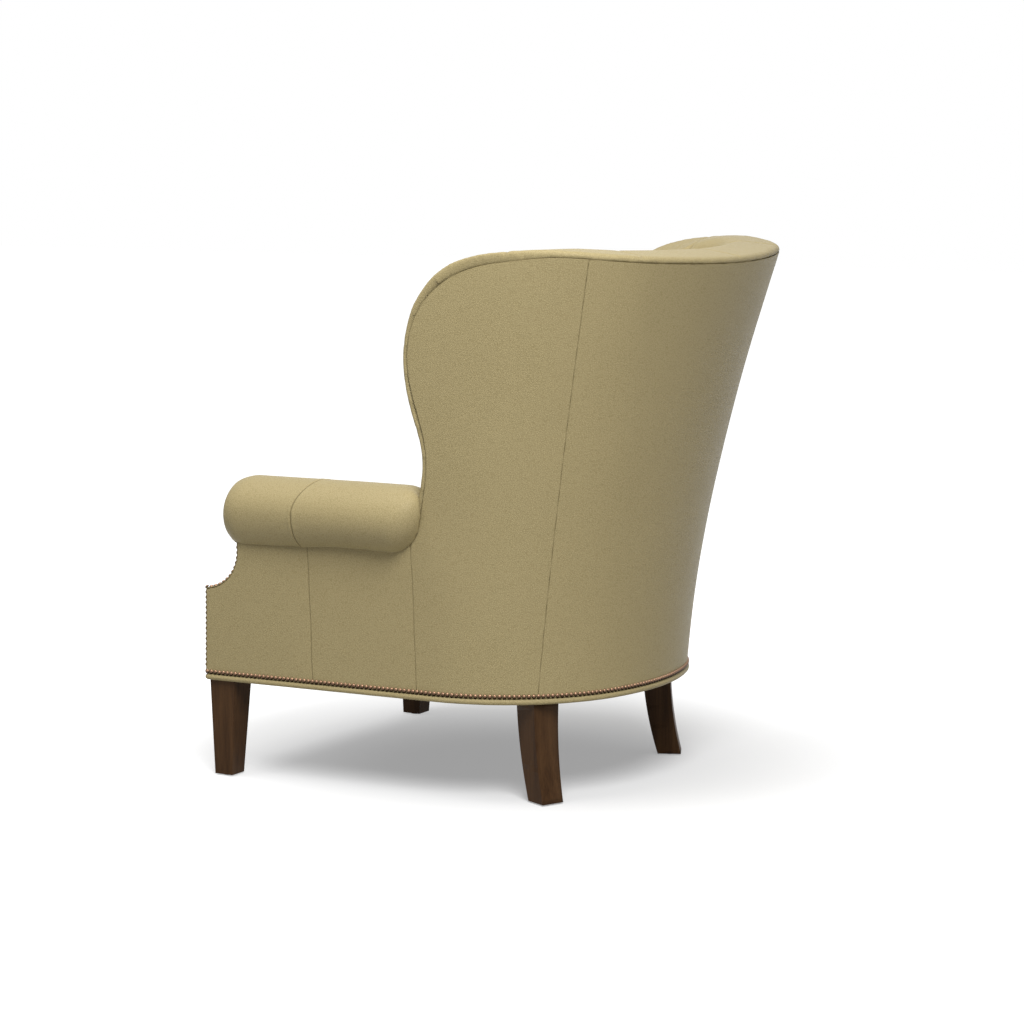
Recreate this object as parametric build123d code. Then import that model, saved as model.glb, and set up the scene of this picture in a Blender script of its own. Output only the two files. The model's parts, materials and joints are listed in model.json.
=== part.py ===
from build123d import *
import functools
import math
import os

# A barrel-backed wing chair in leather on four wooden legs.
# Millimetres, +Z up, floor at Z = 0, the chair faces -Y and +X is the sitter's left.

# Outside of the barrel, a D-shaped plan that flares from the base to the top
leg_height = 200
shell_height = 1065
front_face = -499
front_lean = 9
base_half_width = 400
top_half_width = 453
base_side_taper = 0.054
top_side_taper = 0.025
base_rear = 337
top_rear = 506
base_rear_radius = 490
top_rear_radius = 804
base_corner_radius = 320
top_corner_radius = 244
side_flare_power = 1.21
rear_flare_power = 1.55
corner_seam_turn = 0.54

# Side view of the wing and the top edge, from the arm up and over to the rear
wing_joint_y = -12
neck_y = 18
neck_z = 690
nose_y = -13
nose_z = 855
shoulder_y = 33
shoulder_z = 1000
brow_y = 115
brow_z = 1064
crown_y = 308
crown_z = 1089
ridge_y = 461
ridge_z = 1072
ridge_run = 110
ridge_fall = 18
seam_drop = 13
frame_drop = 22

# Inside of the back and wings
arm_wall = 110
wing_wall = 91
inside_taper = 0.02
seat_back_wall = 214
top_back_wall = 120
inside_rear_radius_low = 620
inside_rear_radius_high = 760
inside_corner_radius = 175
back_pad_thickness = 78
outer_edge_round = 10
inner_edge_round = 32

# Layers of the wall
leather = 2.5
wadding = 5.4
frame_thickness = 28
seam_gap = 0.3

# Seat levels
deck_height = 391
deck_pad_thickness = 25
insulator_thickness = 6
rail_height = 100
deck_nose_round = 14
cushion_thickness = 112
cushion_crown = 17
cushion_base_crown = 7
cushion_waist = 4
cushion_gap = 7
cushion_wrap = 7
cushion_welt_diameter = 9
cushion_corner_round = 14
dust_cover_thickness = 1.2
dust_cover_gap = 1

# Arms
roll_half_width = 78
roll_half_height = 68
roll_inset = 33
roll_z = 555
roll_front = -442
roll_rear = 14
roll_front_round = 46
roll_rear_round = 52
arm_front_y = -412
sweep_top_z = 474
sweep_corner_z = 391
arm_panel_seam_y = -247
arm_post_thickness = 52
arm_post_depth = 130
arm_board_thickness = 22
arm_pad_thickness = 27
arm_pad_crown = 5

# Base trim
welt_diameter = 12
welt_overhang = 4.5
welt_corner_ease = 1.5
welt_sides = 8
nail_width = 9
nail_rise = 3

# Legs
front_leg_inset = 38
front_leg_bottom = 42
front_leg_top = 60
front_leg_setback = 5
front_leg_rake = 6
rear_leg_x = 256
rear_leg_y = 194
rear_leg_bottom = 49
rear_leg_top = 59
rear_leg_toe = 25
rear_leg_sweep = 28
glide_diameter = 24
glide_thickness = 3
bolt_diameter = 8
bolt_grip = 45
bolt_clearance = 0.2
insert_diameter = 12
insert_length = 25
insert_sides = 8

# Suspension
spring_count = 5
spring_pitch = 112
spring_wire = 3.6
spring_width = 56
spring_loop = 38
clip_length = 24
clip_width = 20
seat_rail_thickness = 26
webbing_width = 52
webbing_pitch = 118
webbing_count = 5
webbing_thickness = 2

# Tufting
button_diameter = 24
button_thickness = 7
button_sides = 14
tuft_spacing = 205
tuft_row_pitch = 140
tuft_top_row_z = 925
tuft_depth = 13
tuft_radius = 46

# Derived levels
inside_half_low = base_half_width - arm_wall
inside_half_high = top_half_width - wing_wall
inside_rear_low = base_rear - seat_back_wall
inside_rear_high = top_rear - top_back_wall
roll_x = base_half_width - roll_inset
front_leg_x = base_half_width - front_leg_inset
panel_bottom = leg_height + welt_diameter + seam_gap
wadding_inset = leather + seam_gap
frame_inset = wadding_inset + wadding + seam_gap
frame_inner = frame_inset + frame_thickness
pad_inset = frame_inner + seam_gap
rail_top = leg_height + rail_height
insulator_bottom = deck_height - deck_pad_thickness - seam_gap - insulator_thickness
spring_seat = insulator_bottom - 2 * spring_wire - seam_gap
arm_board_top = roll_z - roll_half_height / 2
arm_board_bottom = arm_board_top - arm_board_thickness
far = 1500


class Plan:
    """D-shaped outline at one height: straight sides, round corners and a shallow rear arc."""

    def __init__(self, z, half, taper, rear, rear_radius, corner_radius, front):
        self.z = z
        self.along = Vector(-taper, 1, 0).normalized()
        self.inward = Vector(-self.along.Y, self.along.X, 0)
        self.corner_radius = corner_radius
        self.rear_radius = rear_radius
        self.rear = rear
        self.start = Vector(half - taper * (front - front_face), front, 0)
        self.rear_centre = Vector(0, rear - rear_radius, 0)
        first = self.start + self.inward * corner_radius - self.rear_centre
        ahead = first.dot(self.along)
        gap = first.dot(first) - (rear_radius - corner_radius) ** 2
        run = -ahead + math.sqrt(ahead * ahead - gap)
        self.corner_centre = self.rear_centre + first + self.along * run
        self.side_end = self.corner_centre - self.inward * corner_radius
        self.turn = (self.corner_centre - self.rear_centre).normalized()
        self.rear_end = self.rear_centre + self.turn * rear_radius

    def corner(self, fraction):
        """Point on the corner arc and its outward direction, from the side (0) to the rear (1)."""
        first = math.atan2(-self.inward.Y, -self.inward.X)
        last = math.atan2(self.turn.Y, self.turn.X)
        angle = first + (last - first) * fraction
        outward = Vector(math.cos(angle), math.sin(angle), 0)
        return self.corner_centre + outward * self.corner_radius + Vector(0, 0, self.z), outward

    def walk(self, distance):
        """Point and outward direction at a distance along the outline from the rear centre."""
        rear_turn = math.atan2(self.turn.X, self.turn.Y)
        corner_turn = math.atan2(-self.inward.X, -self.inward.Y) - rear_turn
        rear_length = rear_turn * self.rear_radius
        corner_length = corner_turn * self.corner_radius
        if distance < rear_length:
            angle = distance / self.rear_radius
            outward = Vector(math.sin(angle), math.cos(angle), 0)
            return self.rear_centre + outward * self.rear_radius + Vector(0, 0, self.z), outward
        if distance < rear_length + corner_length:
            angle = rear_turn + (distance - rear_length) / self.corner_radius
            outward = Vector(math.sin(angle), math.cos(angle), 0)
            return self.corner_centre + outward * self.corner_radius + Vector(0, 0, self.z), outward
        back = distance - rear_length - corner_length
        return self.side_end - self.along * back + Vector(0, 0, self.z), -self.inward

    def face(self):
        middle = self.corner(0.5)[0] - Vector(0, 0, self.z)
        right = [self.start, self.side_end, middle, self.rear_end]
        left = [Vector(-point.X, point.Y, 0) for point in right]
        edges = [
            Line(right[0], right[1]),
            ThreePointArc(right[1], right[2], right[3]),
            ThreePointArc(right[3], Vector(0, self.rear, 0), left[3]),
            ThreePointArc(left[3], left[2], left[1]),
            Line(left[1], left[0]),
            Line(left[0], right[0]),
        ]
        return Pos(0, 0, self.z) * make_face(edges).face()


def between(low, high, share):
    return low + (high - low) * share


def shell_plan(z, inset=0.0, front=front_face):
    """Outline of the barrel at height z, moved in by inset."""
    rise = max(z - leg_height, 0) / (shell_height - leg_height)
    side = rise ** side_flare_power
    rear = rise ** rear_flare_power
    taper = between(base_side_taper, top_side_taper, side)
    half = between(base_half_width, top_half_width, side) - inset * math.hypot(1, taper)
    return Plan(
        z,
        half,
        taper,
        between(base_rear, top_rear, rear) - inset,
        between(base_rear_radius, top_rear_radius, rear) - inset,
        between(base_corner_radius, top_corner_radius, rear) - inset,
        front,
    )


def inside_plan(z, outset=0.0, front=front_face):
    """Outline of the hollow that the sitter leans into, moved out by outset."""
    rise = (z - deck_height) / (shell_height - deck_height)
    return Plan(
        z,
        between(inside_half_low, inside_half_high, rise) + outset * math.hypot(1, inside_taper),
        inside_taper,
        between(inside_rear_low, inside_rear_high, rise) + outset,
        between(inside_rear_radius_low, inside_rear_radius_high, rise) + outset,
        inside_corner_radius + outset,
        front,
    )


def box(x0, x1, y0, y1, z0, z1):
    middle = Pos((x0 + x1) / 2, (y0 + y1) / 2, (z0 + z1) / 2)
    return middle * Box(abs(x1 - x0), abs(y1 - y0), abs(z1 - z0))


def mirrored(part):
    return mirror(part, about=Plane.YZ)


def write(name, shape):
    export_step(shape, f"parts/{name}.step")


def write_pair(name, left):
    write(f"left_{name}", left)
    write(f"right_{name}", mirrored(left))


def group(shapes):
    return Compound(children=list(shapes))


@functools.cache
def barrel(inset):
    """Solid inside the barrel outline, moved in by inset, from the floor side up past the crown."""
    height = crown_z - leg_height
    levels = [leg_height - 20] + [leg_height + height * step for step in (0.1, 0.28, 0.5, 0.75, 1.05)]
    return loft([shell_plan(z, inset, front_face - 30).face() for z in levels])


@functools.cache
def hollow(outset):
    """Solid inside the sitter's hollow, moved out by outset."""
    levels = [leg_height, (leg_height + crown_z) / 2, crown_z * 1.05]
    return loft([inside_plan(z, outset, front_face - 40).face() for z in levels])


def layer(outer, inner):
    return barrel(outer) - barrel(inner)


def across(edges):
    """Closed side-view outline, drawn in Y and Z, run through the whole width."""
    face = Pos(-far, 0, 0) * (Plane.YZ * make_face(edges))
    return extrude(face, amount=2 * far, dir=(1, 0, 0))


@functools.cache
def wing_prism(drop):
    """All that lies behind the wing's front edge and under the top edge, drawn in by drop."""
    foot = (wing_joint_y + drop, roll_z - roll_half_height)
    tail = (ridge_y + ridge_run, ridge_z - ridge_fall - drop)
    edge = Spline(
        foot,
        (neck_y + drop, neck_z),
        (nose_y + drop, nose_z),
        (shoulder_y + drop * 0.8, shoulder_z - drop * 0.6),
        (brow_y + drop * 0.3, brow_z - drop * 0.95),
        (crown_y, crown_z - drop),
        (ridge_y, ridge_z - drop),
        tail,
        tangents=((0, 1), (1, -0.15)),
    )
    low = (tail[0], 0)
    corner = (wing_joint_y + drop, 0)
    return across([edge, Line(tail, low), Line(low, corner), Line(corner, foot)])


@functools.cache
def wing_zone(drop, grow=0.0):
    """The wing drawn in by drop, but only above the arm, with its full side below that."""
    below_roll = box(-far, far, wing_joint_y - grow, far, 0, roll_z + grow)
    return wing_prism(drop - grow) + below_roll


@functools.cache
def front_prism(inset):
    """All that lies behind the leaning front of the base and the swept front of the arm."""
    sill_y = front_face + front_lean
    run = arm_front_y - sill_y
    drop = sweep_top_z - sweep_corner_z
    radius = (run * run + drop * drop) / (2 * run)
    centre_y = arm_front_y - radius
    sweep_radius = radius + inset
    start_angle = math.acos((sill_y + inset - centre_y) / sweep_radius)
    corner = (sill_y + inset, sweep_top_z - sweep_radius * math.sin(start_angle))
    top = (arm_front_y + inset, sweep_top_z)
    middle_angle = start_angle / 2
    middle = (
        centre_y + sweep_radius * math.cos(middle_angle),
        sweep_top_z - sweep_radius * math.sin(middle_angle),
    )
    foot = (front_face + inset, panel_bottom)
    low = (front_face + inset, 0)
    high = (arm_front_y + inset, far)
    return across(
        [
            Line(low, foot),
            Line(foot, corner),
            ThreePointArc(corner, middle, top),
            Line(top, high),
            Line(high, (far, far)),
            Line((far, far), (far, 0)),
            Line((far, 0), low),
        ]
    )


@functools.cache
def behind_corner(offset):
    """Half space behind the left rear corner seam, shifted rearward by offset."""
    low, outward = shell_plan(leg_height).corner(corner_seam_turn)
    high = shell_plan(shell_height).corner(corner_seam_turn)[0]
    up = (high - low).normalized()
    rearward = outward.cross(up) * -1
    seam = Plane(origin=low, x_dir=up, z_dir=rearward)
    return seam * Pos(0, 0, offset) * Box(4 * far, 4 * far, far, align=(Align.CENTER, Align.CENTER, Align.MIN))


left_half = box(0, far, -far, far, 0, far)
above_base = box(-far, far, -far, far, panel_bottom, far)


def front_legs():
    for name, side in (("left_front_leg", 1), ("right_front_leg", -1)):
        top_y = front_face + front_leg_setback + front_leg_top / 2
        top = Pos(side * front_leg_x, top_y, leg_height) * Rectangle(front_leg_top, front_leg_top)
        bottom_place = Pos(side * front_leg_x, top_y - front_leg_rake, glide_thickness)
        bottom = bottom_place * Rectangle(front_leg_bottom, front_leg_bottom)
        yield name, side * front_leg_x, top_y, top_y - front_leg_rake, loft([bottom, top])


def rear_legs():
    """Square legs that turn out at the rear corners and sweep back to the floor."""
    for name, side in (("left_rear_leg", 1), ("right_rear_leg", -1)):
        turn = math.radians(rear_leg_toe)
        sections = []
        for share in (0, 0.3, 0.65, 1):
            sweep = rear_leg_sweep * (1 - share) ** 2
            width = between(rear_leg_bottom, rear_leg_top, share)
            x = side * (rear_leg_x + sweep * math.sin(turn))
            y = rear_leg_y + sweep * math.cos(turn)
            z = between(glide_thickness, leg_height, share)
            sections.append(Pos(x, y, z) * Rot(0, 0, -side * rear_leg_toe) * Rectangle(width, width))
        foot_x = side * (rear_leg_x + rear_leg_sweep * math.sin(turn))
        foot_y = rear_leg_y + rear_leg_sweep * math.cos(turn)
        yield name, side * rear_leg_x, rear_leg_y, foot_x, foot_y, loft(sections)


def bolt_at(x, y, extra=0.0):
    return Pos(x, y, leg_height) * Cylinder(bolt_diameter / 2 + extra, 2 * bolt_grip + 2 * extra)


os.makedirs("parts", exist_ok=True)

# Legs, with a hanger bolt in the top of each and a glide under it
bolts = []
glides = []
bolt_places = []
for name, x, y, foot_y, leg in front_legs():
    write(name, leg - bolt_at(x, y, bolt_clearance))
    bolt_places.append((x, y))
    glides.append(Pos(x, foot_y, glide_thickness / 2) * Cylinder(glide_diameter / 2, glide_thickness))
for name, x, y, foot_x, foot_y, leg in rear_legs():
    write(name, leg - bolt_at(x, y, bolt_clearance))
    bolt_places.append((x, y))
    glides.append(Pos(foot_x, foot_y, glide_thickness / 2) * Cylinder(glide_diameter / 2, glide_thickness))
write("leg_glides", group(glides))
write("leg_hanger_bolts", group(bolt_at(x, y) for x, y in bolt_places))
sleeve = extrude(RegularPolygon(insert_diameter / 2, insert_sides), amount=insert_length)
bore = Cylinder(bolt_diameter / 2 + bolt_clearance, 3 * insert_length)
write("leg_inserts", group(Pos(x, y, leg_height) * (sleeve - bore) for x, y in bolt_places))
pocket = Cylinder(insert_diameter / 2 + bolt_clearance, 2 * insert_length + 2 * bolt_clearance)
bolt_holes = []
for x, y in bolt_places:
    bolt_holes.append(bolt_at(x, y, bolt_clearance) + Pos(x, y, leg_height) * pocket)

# Outside leather, cut into panels along the seams
half_gap = seam_gap / 2
outside = layer(0, leather) & wing_zone(seam_drop) & above_base
back_cut = behind_corner(half_gap)
write("outside_back_panel", outside & back_cut & mirrored(back_cut))
write_pair("outside_wing_panel", (outside & left_half) - behind_corner(-half_gap))
arm_top = box(-far, far, -far, wing_joint_y - seam_gap, panel_bottom, arm_board_top)
arm_leather = layer(0, leather) & left_half & arm_top & front_prism(leather + seam_gap)
seam_front = box(-far, far, -far, arm_panel_seam_y - half_gap, 0, far)
seam_rear = box(-far, far, arm_panel_seam_y + half_gap, far, 0, far)
write_pair("outside_arm_front_panel", arm_leather & seam_front)
write_pair("outside_arm_rear_panel", arm_leather & seam_rear)

# Wadding between the outside leather and the frame
soft = layer(wadding_inset, frame_inset - seam_gap) & wing_zone(seam_drop) & above_base
write("outside_back_wadding", soft & back_cut & mirrored(back_cut))
write_pair("outside_wing_wadding", (soft & left_half) - behind_corner(-half_gap))
arm_soft = layer(wadding_inset, frame_inset - seam_gap) & left_half & arm_top
write_pair("outside_arm_wadding", arm_soft & front_prism(frame_inset))

# Hardwood frame
wall = layer(frame_inset, frame_inner)
low_rails = box(-far, far, -far, far, leg_height, rail_top)
post_rear = front_face + frame_inset + arm_post_depth
rails = wall & low_rails
write("back_rail", rails & behind_corner(0) & mirrored(behind_corner(0)))
side_run = box(0, far, post_rear, far, 0, far)
write_pair("side_rail", (rails & side_run) - behind_corner(0))
post_half = frame_thickness
boards = wall & wing_zone(frame_drop) & box(-far, far, -far, far, rail_top, far)
post_back = behind_corner(post_half)
post_front = behind_corner(-post_half)
write_pair("back_post", (boards & left_half & post_front) - post_back)
write_pair("wing_board", (boards & left_half) - behind_corner(-post_half - seam_gap))
crest_bottom = ridge_z - frame_drop - 3 * frame_thickness
crest = boards & box(-far, far, -far, far, crest_bottom, far)
crest_cut = behind_corner(post_half + seam_gap)
write("crest_rail", crest & crest_cut & mirrored(crest_cut))

post_x = base_half_width - frame_inset - arm_post_thickness
post_zone = box(post_x, far, -far, post_rear - seam_gap, leg_height, arm_board_bottom)
arm_post = barrel(frame_inset) & front_prism(frame_inset) & post_zone
for hole in bolt_holes:
    arm_post = arm_post - hole
write_pair("arm_post", arm_post)
arm_pad_outer = inside_half_low + arm_pad_thickness
board_zone = box(
    arm_pad_outer + seam_gap, far, -far, wing_joint_y - seam_gap, arm_board_bottom, arm_board_top
)
write_pair("arm_board", barrel(frame_inset) & front_prism(frame_inset) & board_zone)
front_rail_rear = front_face + front_lean + frame_inset + frame_thickness
front_rail_half = post_x - seam_gap
front_rail = box(
    -front_rail_half,
    front_rail_half,
    front_face + frame_inset,
    front_rail_rear,
    leg_height,
    spring_seat,
)
write("front_rail", front_rail & front_prism(frame_inset))
seat_rail_y = inside_rear_low + seat_rail_thickness
seat_rail = box(-far, far, seat_rail_y, seat_rail_y + seat_rail_thickness, rail_top, spring_seat)
write("rear_seat_rail", seat_rail & barrel(pad_inset))

# Blocks inside the rear corners, over the rear legs
blocks = []
for x, y in bolt_places[2:]:
    turn = Rot(0, 0, -math.copysign(rear_leg_toe, x))
    block = Pos(x, y, leg_height + rail_height / 4) * turn * Box(rear_leg_top, rear_leg_top, rail_height / 2)
    block = block & barrel(frame_inner + seam_gap)
    for hole in bolt_holes:
        block = block - hole
    blocks.append(block)
write("rear_leg_blocks", group(blocks))

# Seat suspension: zigzag springs held in clips on the front rail and the rear seat rail
spring_front = front_rail_rear - clip_length / 2
spring_rear = seat_rail_y + seat_rail_thickness / 2
springs = []
clips = []
loops = 2 * int((spring_rear - spring_front) / spring_loop / 2)
step = (spring_rear - spring_front) / loops
bend = step / 3
for index in range(spring_count):
    x = (index - (spring_count - 1) / 2) * spring_pitch
    reach = spring_width / 2
    points = [(x - reach + bend, spring_front)]
    for loop_index in range(loops):
        side = 1 if loop_index % 2 == 0 else -1
        y = spring_front + step * loop_index
        points.append((x + side * (reach - bend), y))
        points.append((x + side * reach, y + bend))
        points.append((x + side * reach, y + step - bend))
        points.append((x + side * (reach - bend), y + step))
    points.append((x + reach - bend, spring_rear))
    flat = trace(Polyline(*points), line_width=spring_wire)
    springs.append(Pos(0, 0, spring_seat + spring_wire / 2) * extrude(flat, amount=spring_wire))
    for y in (spring_front, spring_rear):
        clip = box(
            x - clip_width / 2,
            x + clip_width / 2,
            y - clip_length / 2,
            y + clip_length / 2,
            spring_seat,
            spring_seat + 2 * spring_wire,
        )
        slot_half = spring_wire / 2 + seam_gap
        slot = box(
            x - far,
            x + far,
            y - slot_half,
            y + slot_half,
            spring_seat + spring_wire / 2 - seam_gap,
            spring_seat + 1.5 * spring_wire + seam_gap,
        )
        clips.append(clip - slot)
write("seat_springs", group(springs))
write("spring_clips", group(clips))

insulator_rear = seat_rail_y + seat_rail_thickness
insulator_half = inside_half_low - 2 * seam_gap
insulator = box(
    -insulator_half,
    insulator_half,
    front_face + frame_inset,
    insulator_rear,
    insulator_bottom,
    insulator_bottom + insulator_thickness,
)
write("spring_insulator", insulator & front_prism(frame_inset))
pad_floor = deck_height - deck_pad_thickness
deck_half = inside_half_low - seam_gap
deck = box(-deck_half, deck_half, -far, far, pad_floor, deck_height) & hollow(-seam_gap) & front_prism(0)
deck_nose = deck.edges().filter_by(Axis.X).group_by(Axis.Z)[-1].sort_by(Axis.Y)[0]
write("deck_pad", fillet(deck_nose, deck_nose_round))

# Inside back and wings: a deep pad that rolls over the top edge and the wing fronts to the outside seam
lip = barrel(0) & (wing_prism(0) - wing_zone(seam_drop, seam_gap))
bed = barrel(frame_inset) & (wing_prism(0) - wing_zone(frame_drop, seam_gap))
body = barrel(pad_inset) & hollow(back_pad_thickness) & wing_prism(0)
pad_zone = box(-far, far, -far, far, pad_floor + seam_gap, far)
back_pad = (((body + bed + lip) & pad_zone) - hollow(0)).solid()


def edge_face(solid):
    """The rolled face along the wing fronts and the top."""
    return max(solid.faces().filter_by(GeomType.EXTRUSION), key=lambda face: face.area)


outer_skin = barrel(1).solid()
inner_skin = hollow(1).solid()
outer_edges = [edge for edge in edge_face(back_pad).edges() if not outer_skin.is_inside(edge @ 0.5)]
back_pad = back_pad.fillet(outer_edge_round, outer_edges)
inner_edges = [edge for edge in edge_face(back_pad).edges() if inner_skin.is_inside(edge @ 0.5)]
back_pad = back_pad.fillet(inner_edge_round, inner_edges)

# Deep buttons in three rows, five, four and three, each drawn into its own dimple
buttons = []
button_rim = RegularPolygon(button_diameter / 2, button_sides)
button_edge = Pos(0, 0, button_thickness / 2) * button_rim
button_dome = Pos(0, 0, button_thickness) * RegularPolygon(button_diameter / 3, button_sides)
button_body = extrude(button_rim, amount=button_thickness / 2) + loft([button_edge, button_dome])
seat_depth = tuft_radius - math.sqrt(tuft_radius ** 2 - (button_diameter / 2) ** 2) + seam_gap
for row, columns in enumerate((5, 4, 3)):
    z = tuft_top_row_z - row * tuft_row_pitch
    for column in range(columns):
        along = (column - (columns - 1) / 2) * tuft_spacing
        point, outward = inside_plan(z).walk(abs(along))
        if along < 0:
            point = Vector(-point.X, point.Y, point.Z)
            outward = Vector(-outward.X, outward.Y, 0)
        back_pad = back_pad - Pos(*(point - outward * (tuft_radius - tuft_depth))) * Sphere(tuft_radius)
        seat = Plane(origin=point + outward * (tuft_depth - seat_depth), z_dir=-outward)
        buttons.append(seat * button_body)
write("inside_back_pad", back_pad)
write("tuft_buttons", group(buttons))

# Webbing across the back posts, behind the pad
strap_inner = hollow(back_pad_thickness + seam_gap)
straps = (hollow(back_pad_thickness + seam_gap + webbing_thickness) & barrel(pad_inset)) - strap_inner
bands = []
for index in range(webbing_count):
    low = pad_floor + webbing_pitch * (index + 0.5)
    bands.append(straps & box(-far, far, wing_joint_y, far, low, low + webbing_width))
write("back_webbing", group(bands))

# Arms: a pad down the inside that rolls over the top, with domed ends
roll_plane = Plane(origin=(roll_x, roll_front, roll_z), x_dir=(1, 0, 0), z_dir=(0, 1, 0))
roll = extrude(roll_plane * Ellipse(roll_half_width, roll_half_height), amount=roll_rear - roll_front)
roll = fillet(roll.edges().sort_by(Axis.Y)[0], roll_front_round)
roll = fillet(roll.edges().sort_by(Axis.Y)[-1], roll_rear_round)
slab_low = (inside_half_low + arm_pad_crown, pad_floor)
slab_high = (inside_half_low + arm_pad_crown, roll_z)
slab_edges = [
    ThreePointArc(slab_low, (inside_half_low, (pad_floor + roll_z) / 2), slab_high),
    Line(slab_high, (arm_pad_outer, roll_z)),
    Line((arm_pad_outer, roll_z), (arm_pad_outer, pad_floor)),
    Line((arm_pad_outer, pad_floor), slab_low),
]
slab_face = Pos(0, wing_joint_y, 0) * (Plane.XZ * make_face(slab_edges))
slab = extrude(slab_face, amount=wing_joint_y - front_face, dir=(0, -1, 0))
slab = slab & front_prism(leather + seam_gap)
under_board = box(arm_pad_outer, far, -far, far, 0, arm_board_top + seam_gap)
arm_core = barrel(-seam_gap) & front_prism(-seam_gap) & under_board
facing_slot = front_prism(-seam_gap) - front_prism(leather + seam_gap)
facing_slot = facing_slot & box(0, far, -far, far, 0, arm_board_top + seam_gap)
wing_root = barrel(-seam_gap) & wing_zone(0, seam_gap)
arm_pad = (roll + slab) - arm_core - facing_slot - wing_root
write_pair("arm_pad", arm_pad)

# Front of the arms and the base
facing_zone = box(inside_half_low + seam_gap, far, -far, far, panel_bottom, arm_board_top)
facing = (front_prism(0) - front_prism(leather)) & barrel(0) & facing_zone
write_pair("arm_front_panel", facing)
facing_soft = (front_prism(wadding_inset) - front_prism(frame_inset - seam_gap)) & barrel(frame_inset)
soft_zone = box(arm_pad_outer + seam_gap, far, -far, far, panel_bottom, arm_board_top)
write_pair("arm_front_wadding", facing_soft & soft_zone)
border_top = pad_floor - seam_gap
border_half = inside_half_low - seam_gap
border_zone = box(-border_half, border_half, -far, far, panel_bottom, border_top)
write("front_border", (front_prism(0) - front_prism(leather)) & border_zone)
border_soft = front_prism(wadding_inset) - front_prism(frame_inset - seam_gap)
write("front_border_wadding", border_soft & border_zone)

# Welt round the bottom edge
welt_inset = welt_diameter / 2 - welt_overhang
welt_plan = shell_plan(leg_height + welt_diameter / 2, welt_inset, front_face + welt_inset).face()
welt_path = welt_plan.outer_wire()
front_corners = welt_path.vertices().group_by(Axis.Y)[0]
welt_path = welt_path.fillet_2d(welt_diameter / 2 + welt_corner_ease, front_corners)
welt_section = Plane(origin=welt_path @ 0, z_dir=welt_path % 0) * RegularPolygon(welt_diameter / 2, welt_sides)
write("base_welt", sweep(welt_section, path=welt_path))

# Domed nails, joined here into one strip for each run
nail_low = panel_bottom + seam_gap
nail_slab = box(-far, far, front_face, far, nail_low, nail_low + nail_width)
write("base_nail_trim", layer(-seam_gap - nail_rise, -seam_gap) & nail_slab)
front_nails = box(
    -base_half_width,
    base_half_width,
    front_face - seam_gap - nail_rise,
    front_face - seam_gap,
    nail_low,
    nail_low + nail_width,
)
write("front_nail_trim", front_nails)
arm_nails = front_prism(-seam_gap - nail_rise) - front_prism(-seam_gap)
arm_nails = arm_nails & layer(leather, leather + nail_width)
nail_gap = nail_low + nail_width + seam_gap
arm_nail_zone = box(0, far, -far, far, nail_gap, roll_z - roll_half_height - seam_gap)
write_pair("arm_nail_trim", arm_nails & arm_nail_zone)

# Loose seat cushion: a box cushion with a crowned top, drawn-in sides and welted edges


def cushion_plan(z, inset):
    shift = cushion_gap + inset
    return Plan(
        z,
        inside_half_low - shift,
        inside_taper,
        inside_rear_low - shift,
        inside_rear_radius_low - shift,
        inside_corner_radius - shift,
        front_face + cushion_gap + inset,
    )


cushion_bottom = deck_height + seam_gap
low_seam = cushion_bottom + cushion_base_crown
high_seam = cushion_bottom + cushion_thickness - cushion_crown


def cushion_solid(shrink):
    """The cushion's whole form, drawn in all round by shrink."""
    low = low_seam + shrink
    high = high_seam - shrink
    waist = (low + high) / 2
    sides = loft(
        [
            cushion_plan(low, shrink).face(),
            cushion_plan(waist, shrink + cushion_waist).face(),
            cushion_plan(high, shrink).face(),
        ]
    )
    crown = loft(
        [
            cushion_plan(high, shrink).face(),
            cushion_plan(high + cushion_crown * 0.6, shrink + cushion_crown * 2).face(),
            cushion_plan(high + cushion_crown, shrink + cushion_crown * 7).face(),
        ]
    )
    base = loft(
        [
            cushion_plan(low - cushion_base_crown, shrink + cushion_base_crown * 4).face(),
            cushion_plan(low, shrink).face(),
        ]
    )
    return sides + crown + base


def rounded_front(outline, radius):
    return outline.fillet_2d(radius, outline.vertices().group_by(Axis.Y)[0])


def cushion_welt(z):
    path = rounded_front(cushion_plan(z, 0).face().outer_wire(), cushion_corner_round)
    section = RegularPolygon(cushion_welt_diameter / 2, welt_sides)
    return sweep(Plane(origin=path @ 0, z_dir=path % 0) * section, path=path)


def seam_rebate(z):
    """Ring cut out of the cover's edge, in which a welt lies."""
    half = cushion_welt_diameter / 2 + seam_gap
    kept = cushion_plan(z - half, half).face().outer_wire()
    kept = Face(rounded_front(kept, cushion_corner_round - half))
    return box(-far, far, -far, far, z - half, z + half) - extrude(kept, amount=2 * half, dir=(0, 0, 1))


cushion = cushion_solid(0)
seams = (low_seam, high_seam)
cover = cushion - cushion_solid(cushion_wrap)
for z in seams:
    cover = cover - seam_rebate(z)
write("cushion_cover", cover)
write("cushion_core", cushion_solid(cushion_wrap + seam_gap))
write("cushion_welts", group(cushion_welt(z) for z in seams))

# Cloth that closes the underside, cut round the leg tops
cloth_inset = frame_inset
cloth_plan = shell_plan(leg_height, cloth_inset, front_face + cloth_inset).face()
cloth = extrude(cloth_plan, amount=-dust_cover_thickness)
for index, (x, y) in enumerate(bolt_places):
    width = front_leg_top if index < 2 else rear_leg_top
    turn = 0 if index < 2 else -math.copysign(rear_leg_toe, x)
    cut = Box(width + 2 * dust_cover_gap, width + 2 * dust_cover_gap, 4 * dust_cover_thickness)
    cloth = cloth - Pos(x, y, leg_height) * Rot(0, 0, turn) * cut
write("dust_cover", cloth)
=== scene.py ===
import json
import math

import bpy
import numpy as np
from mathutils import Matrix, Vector, kdtree, noise

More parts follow.
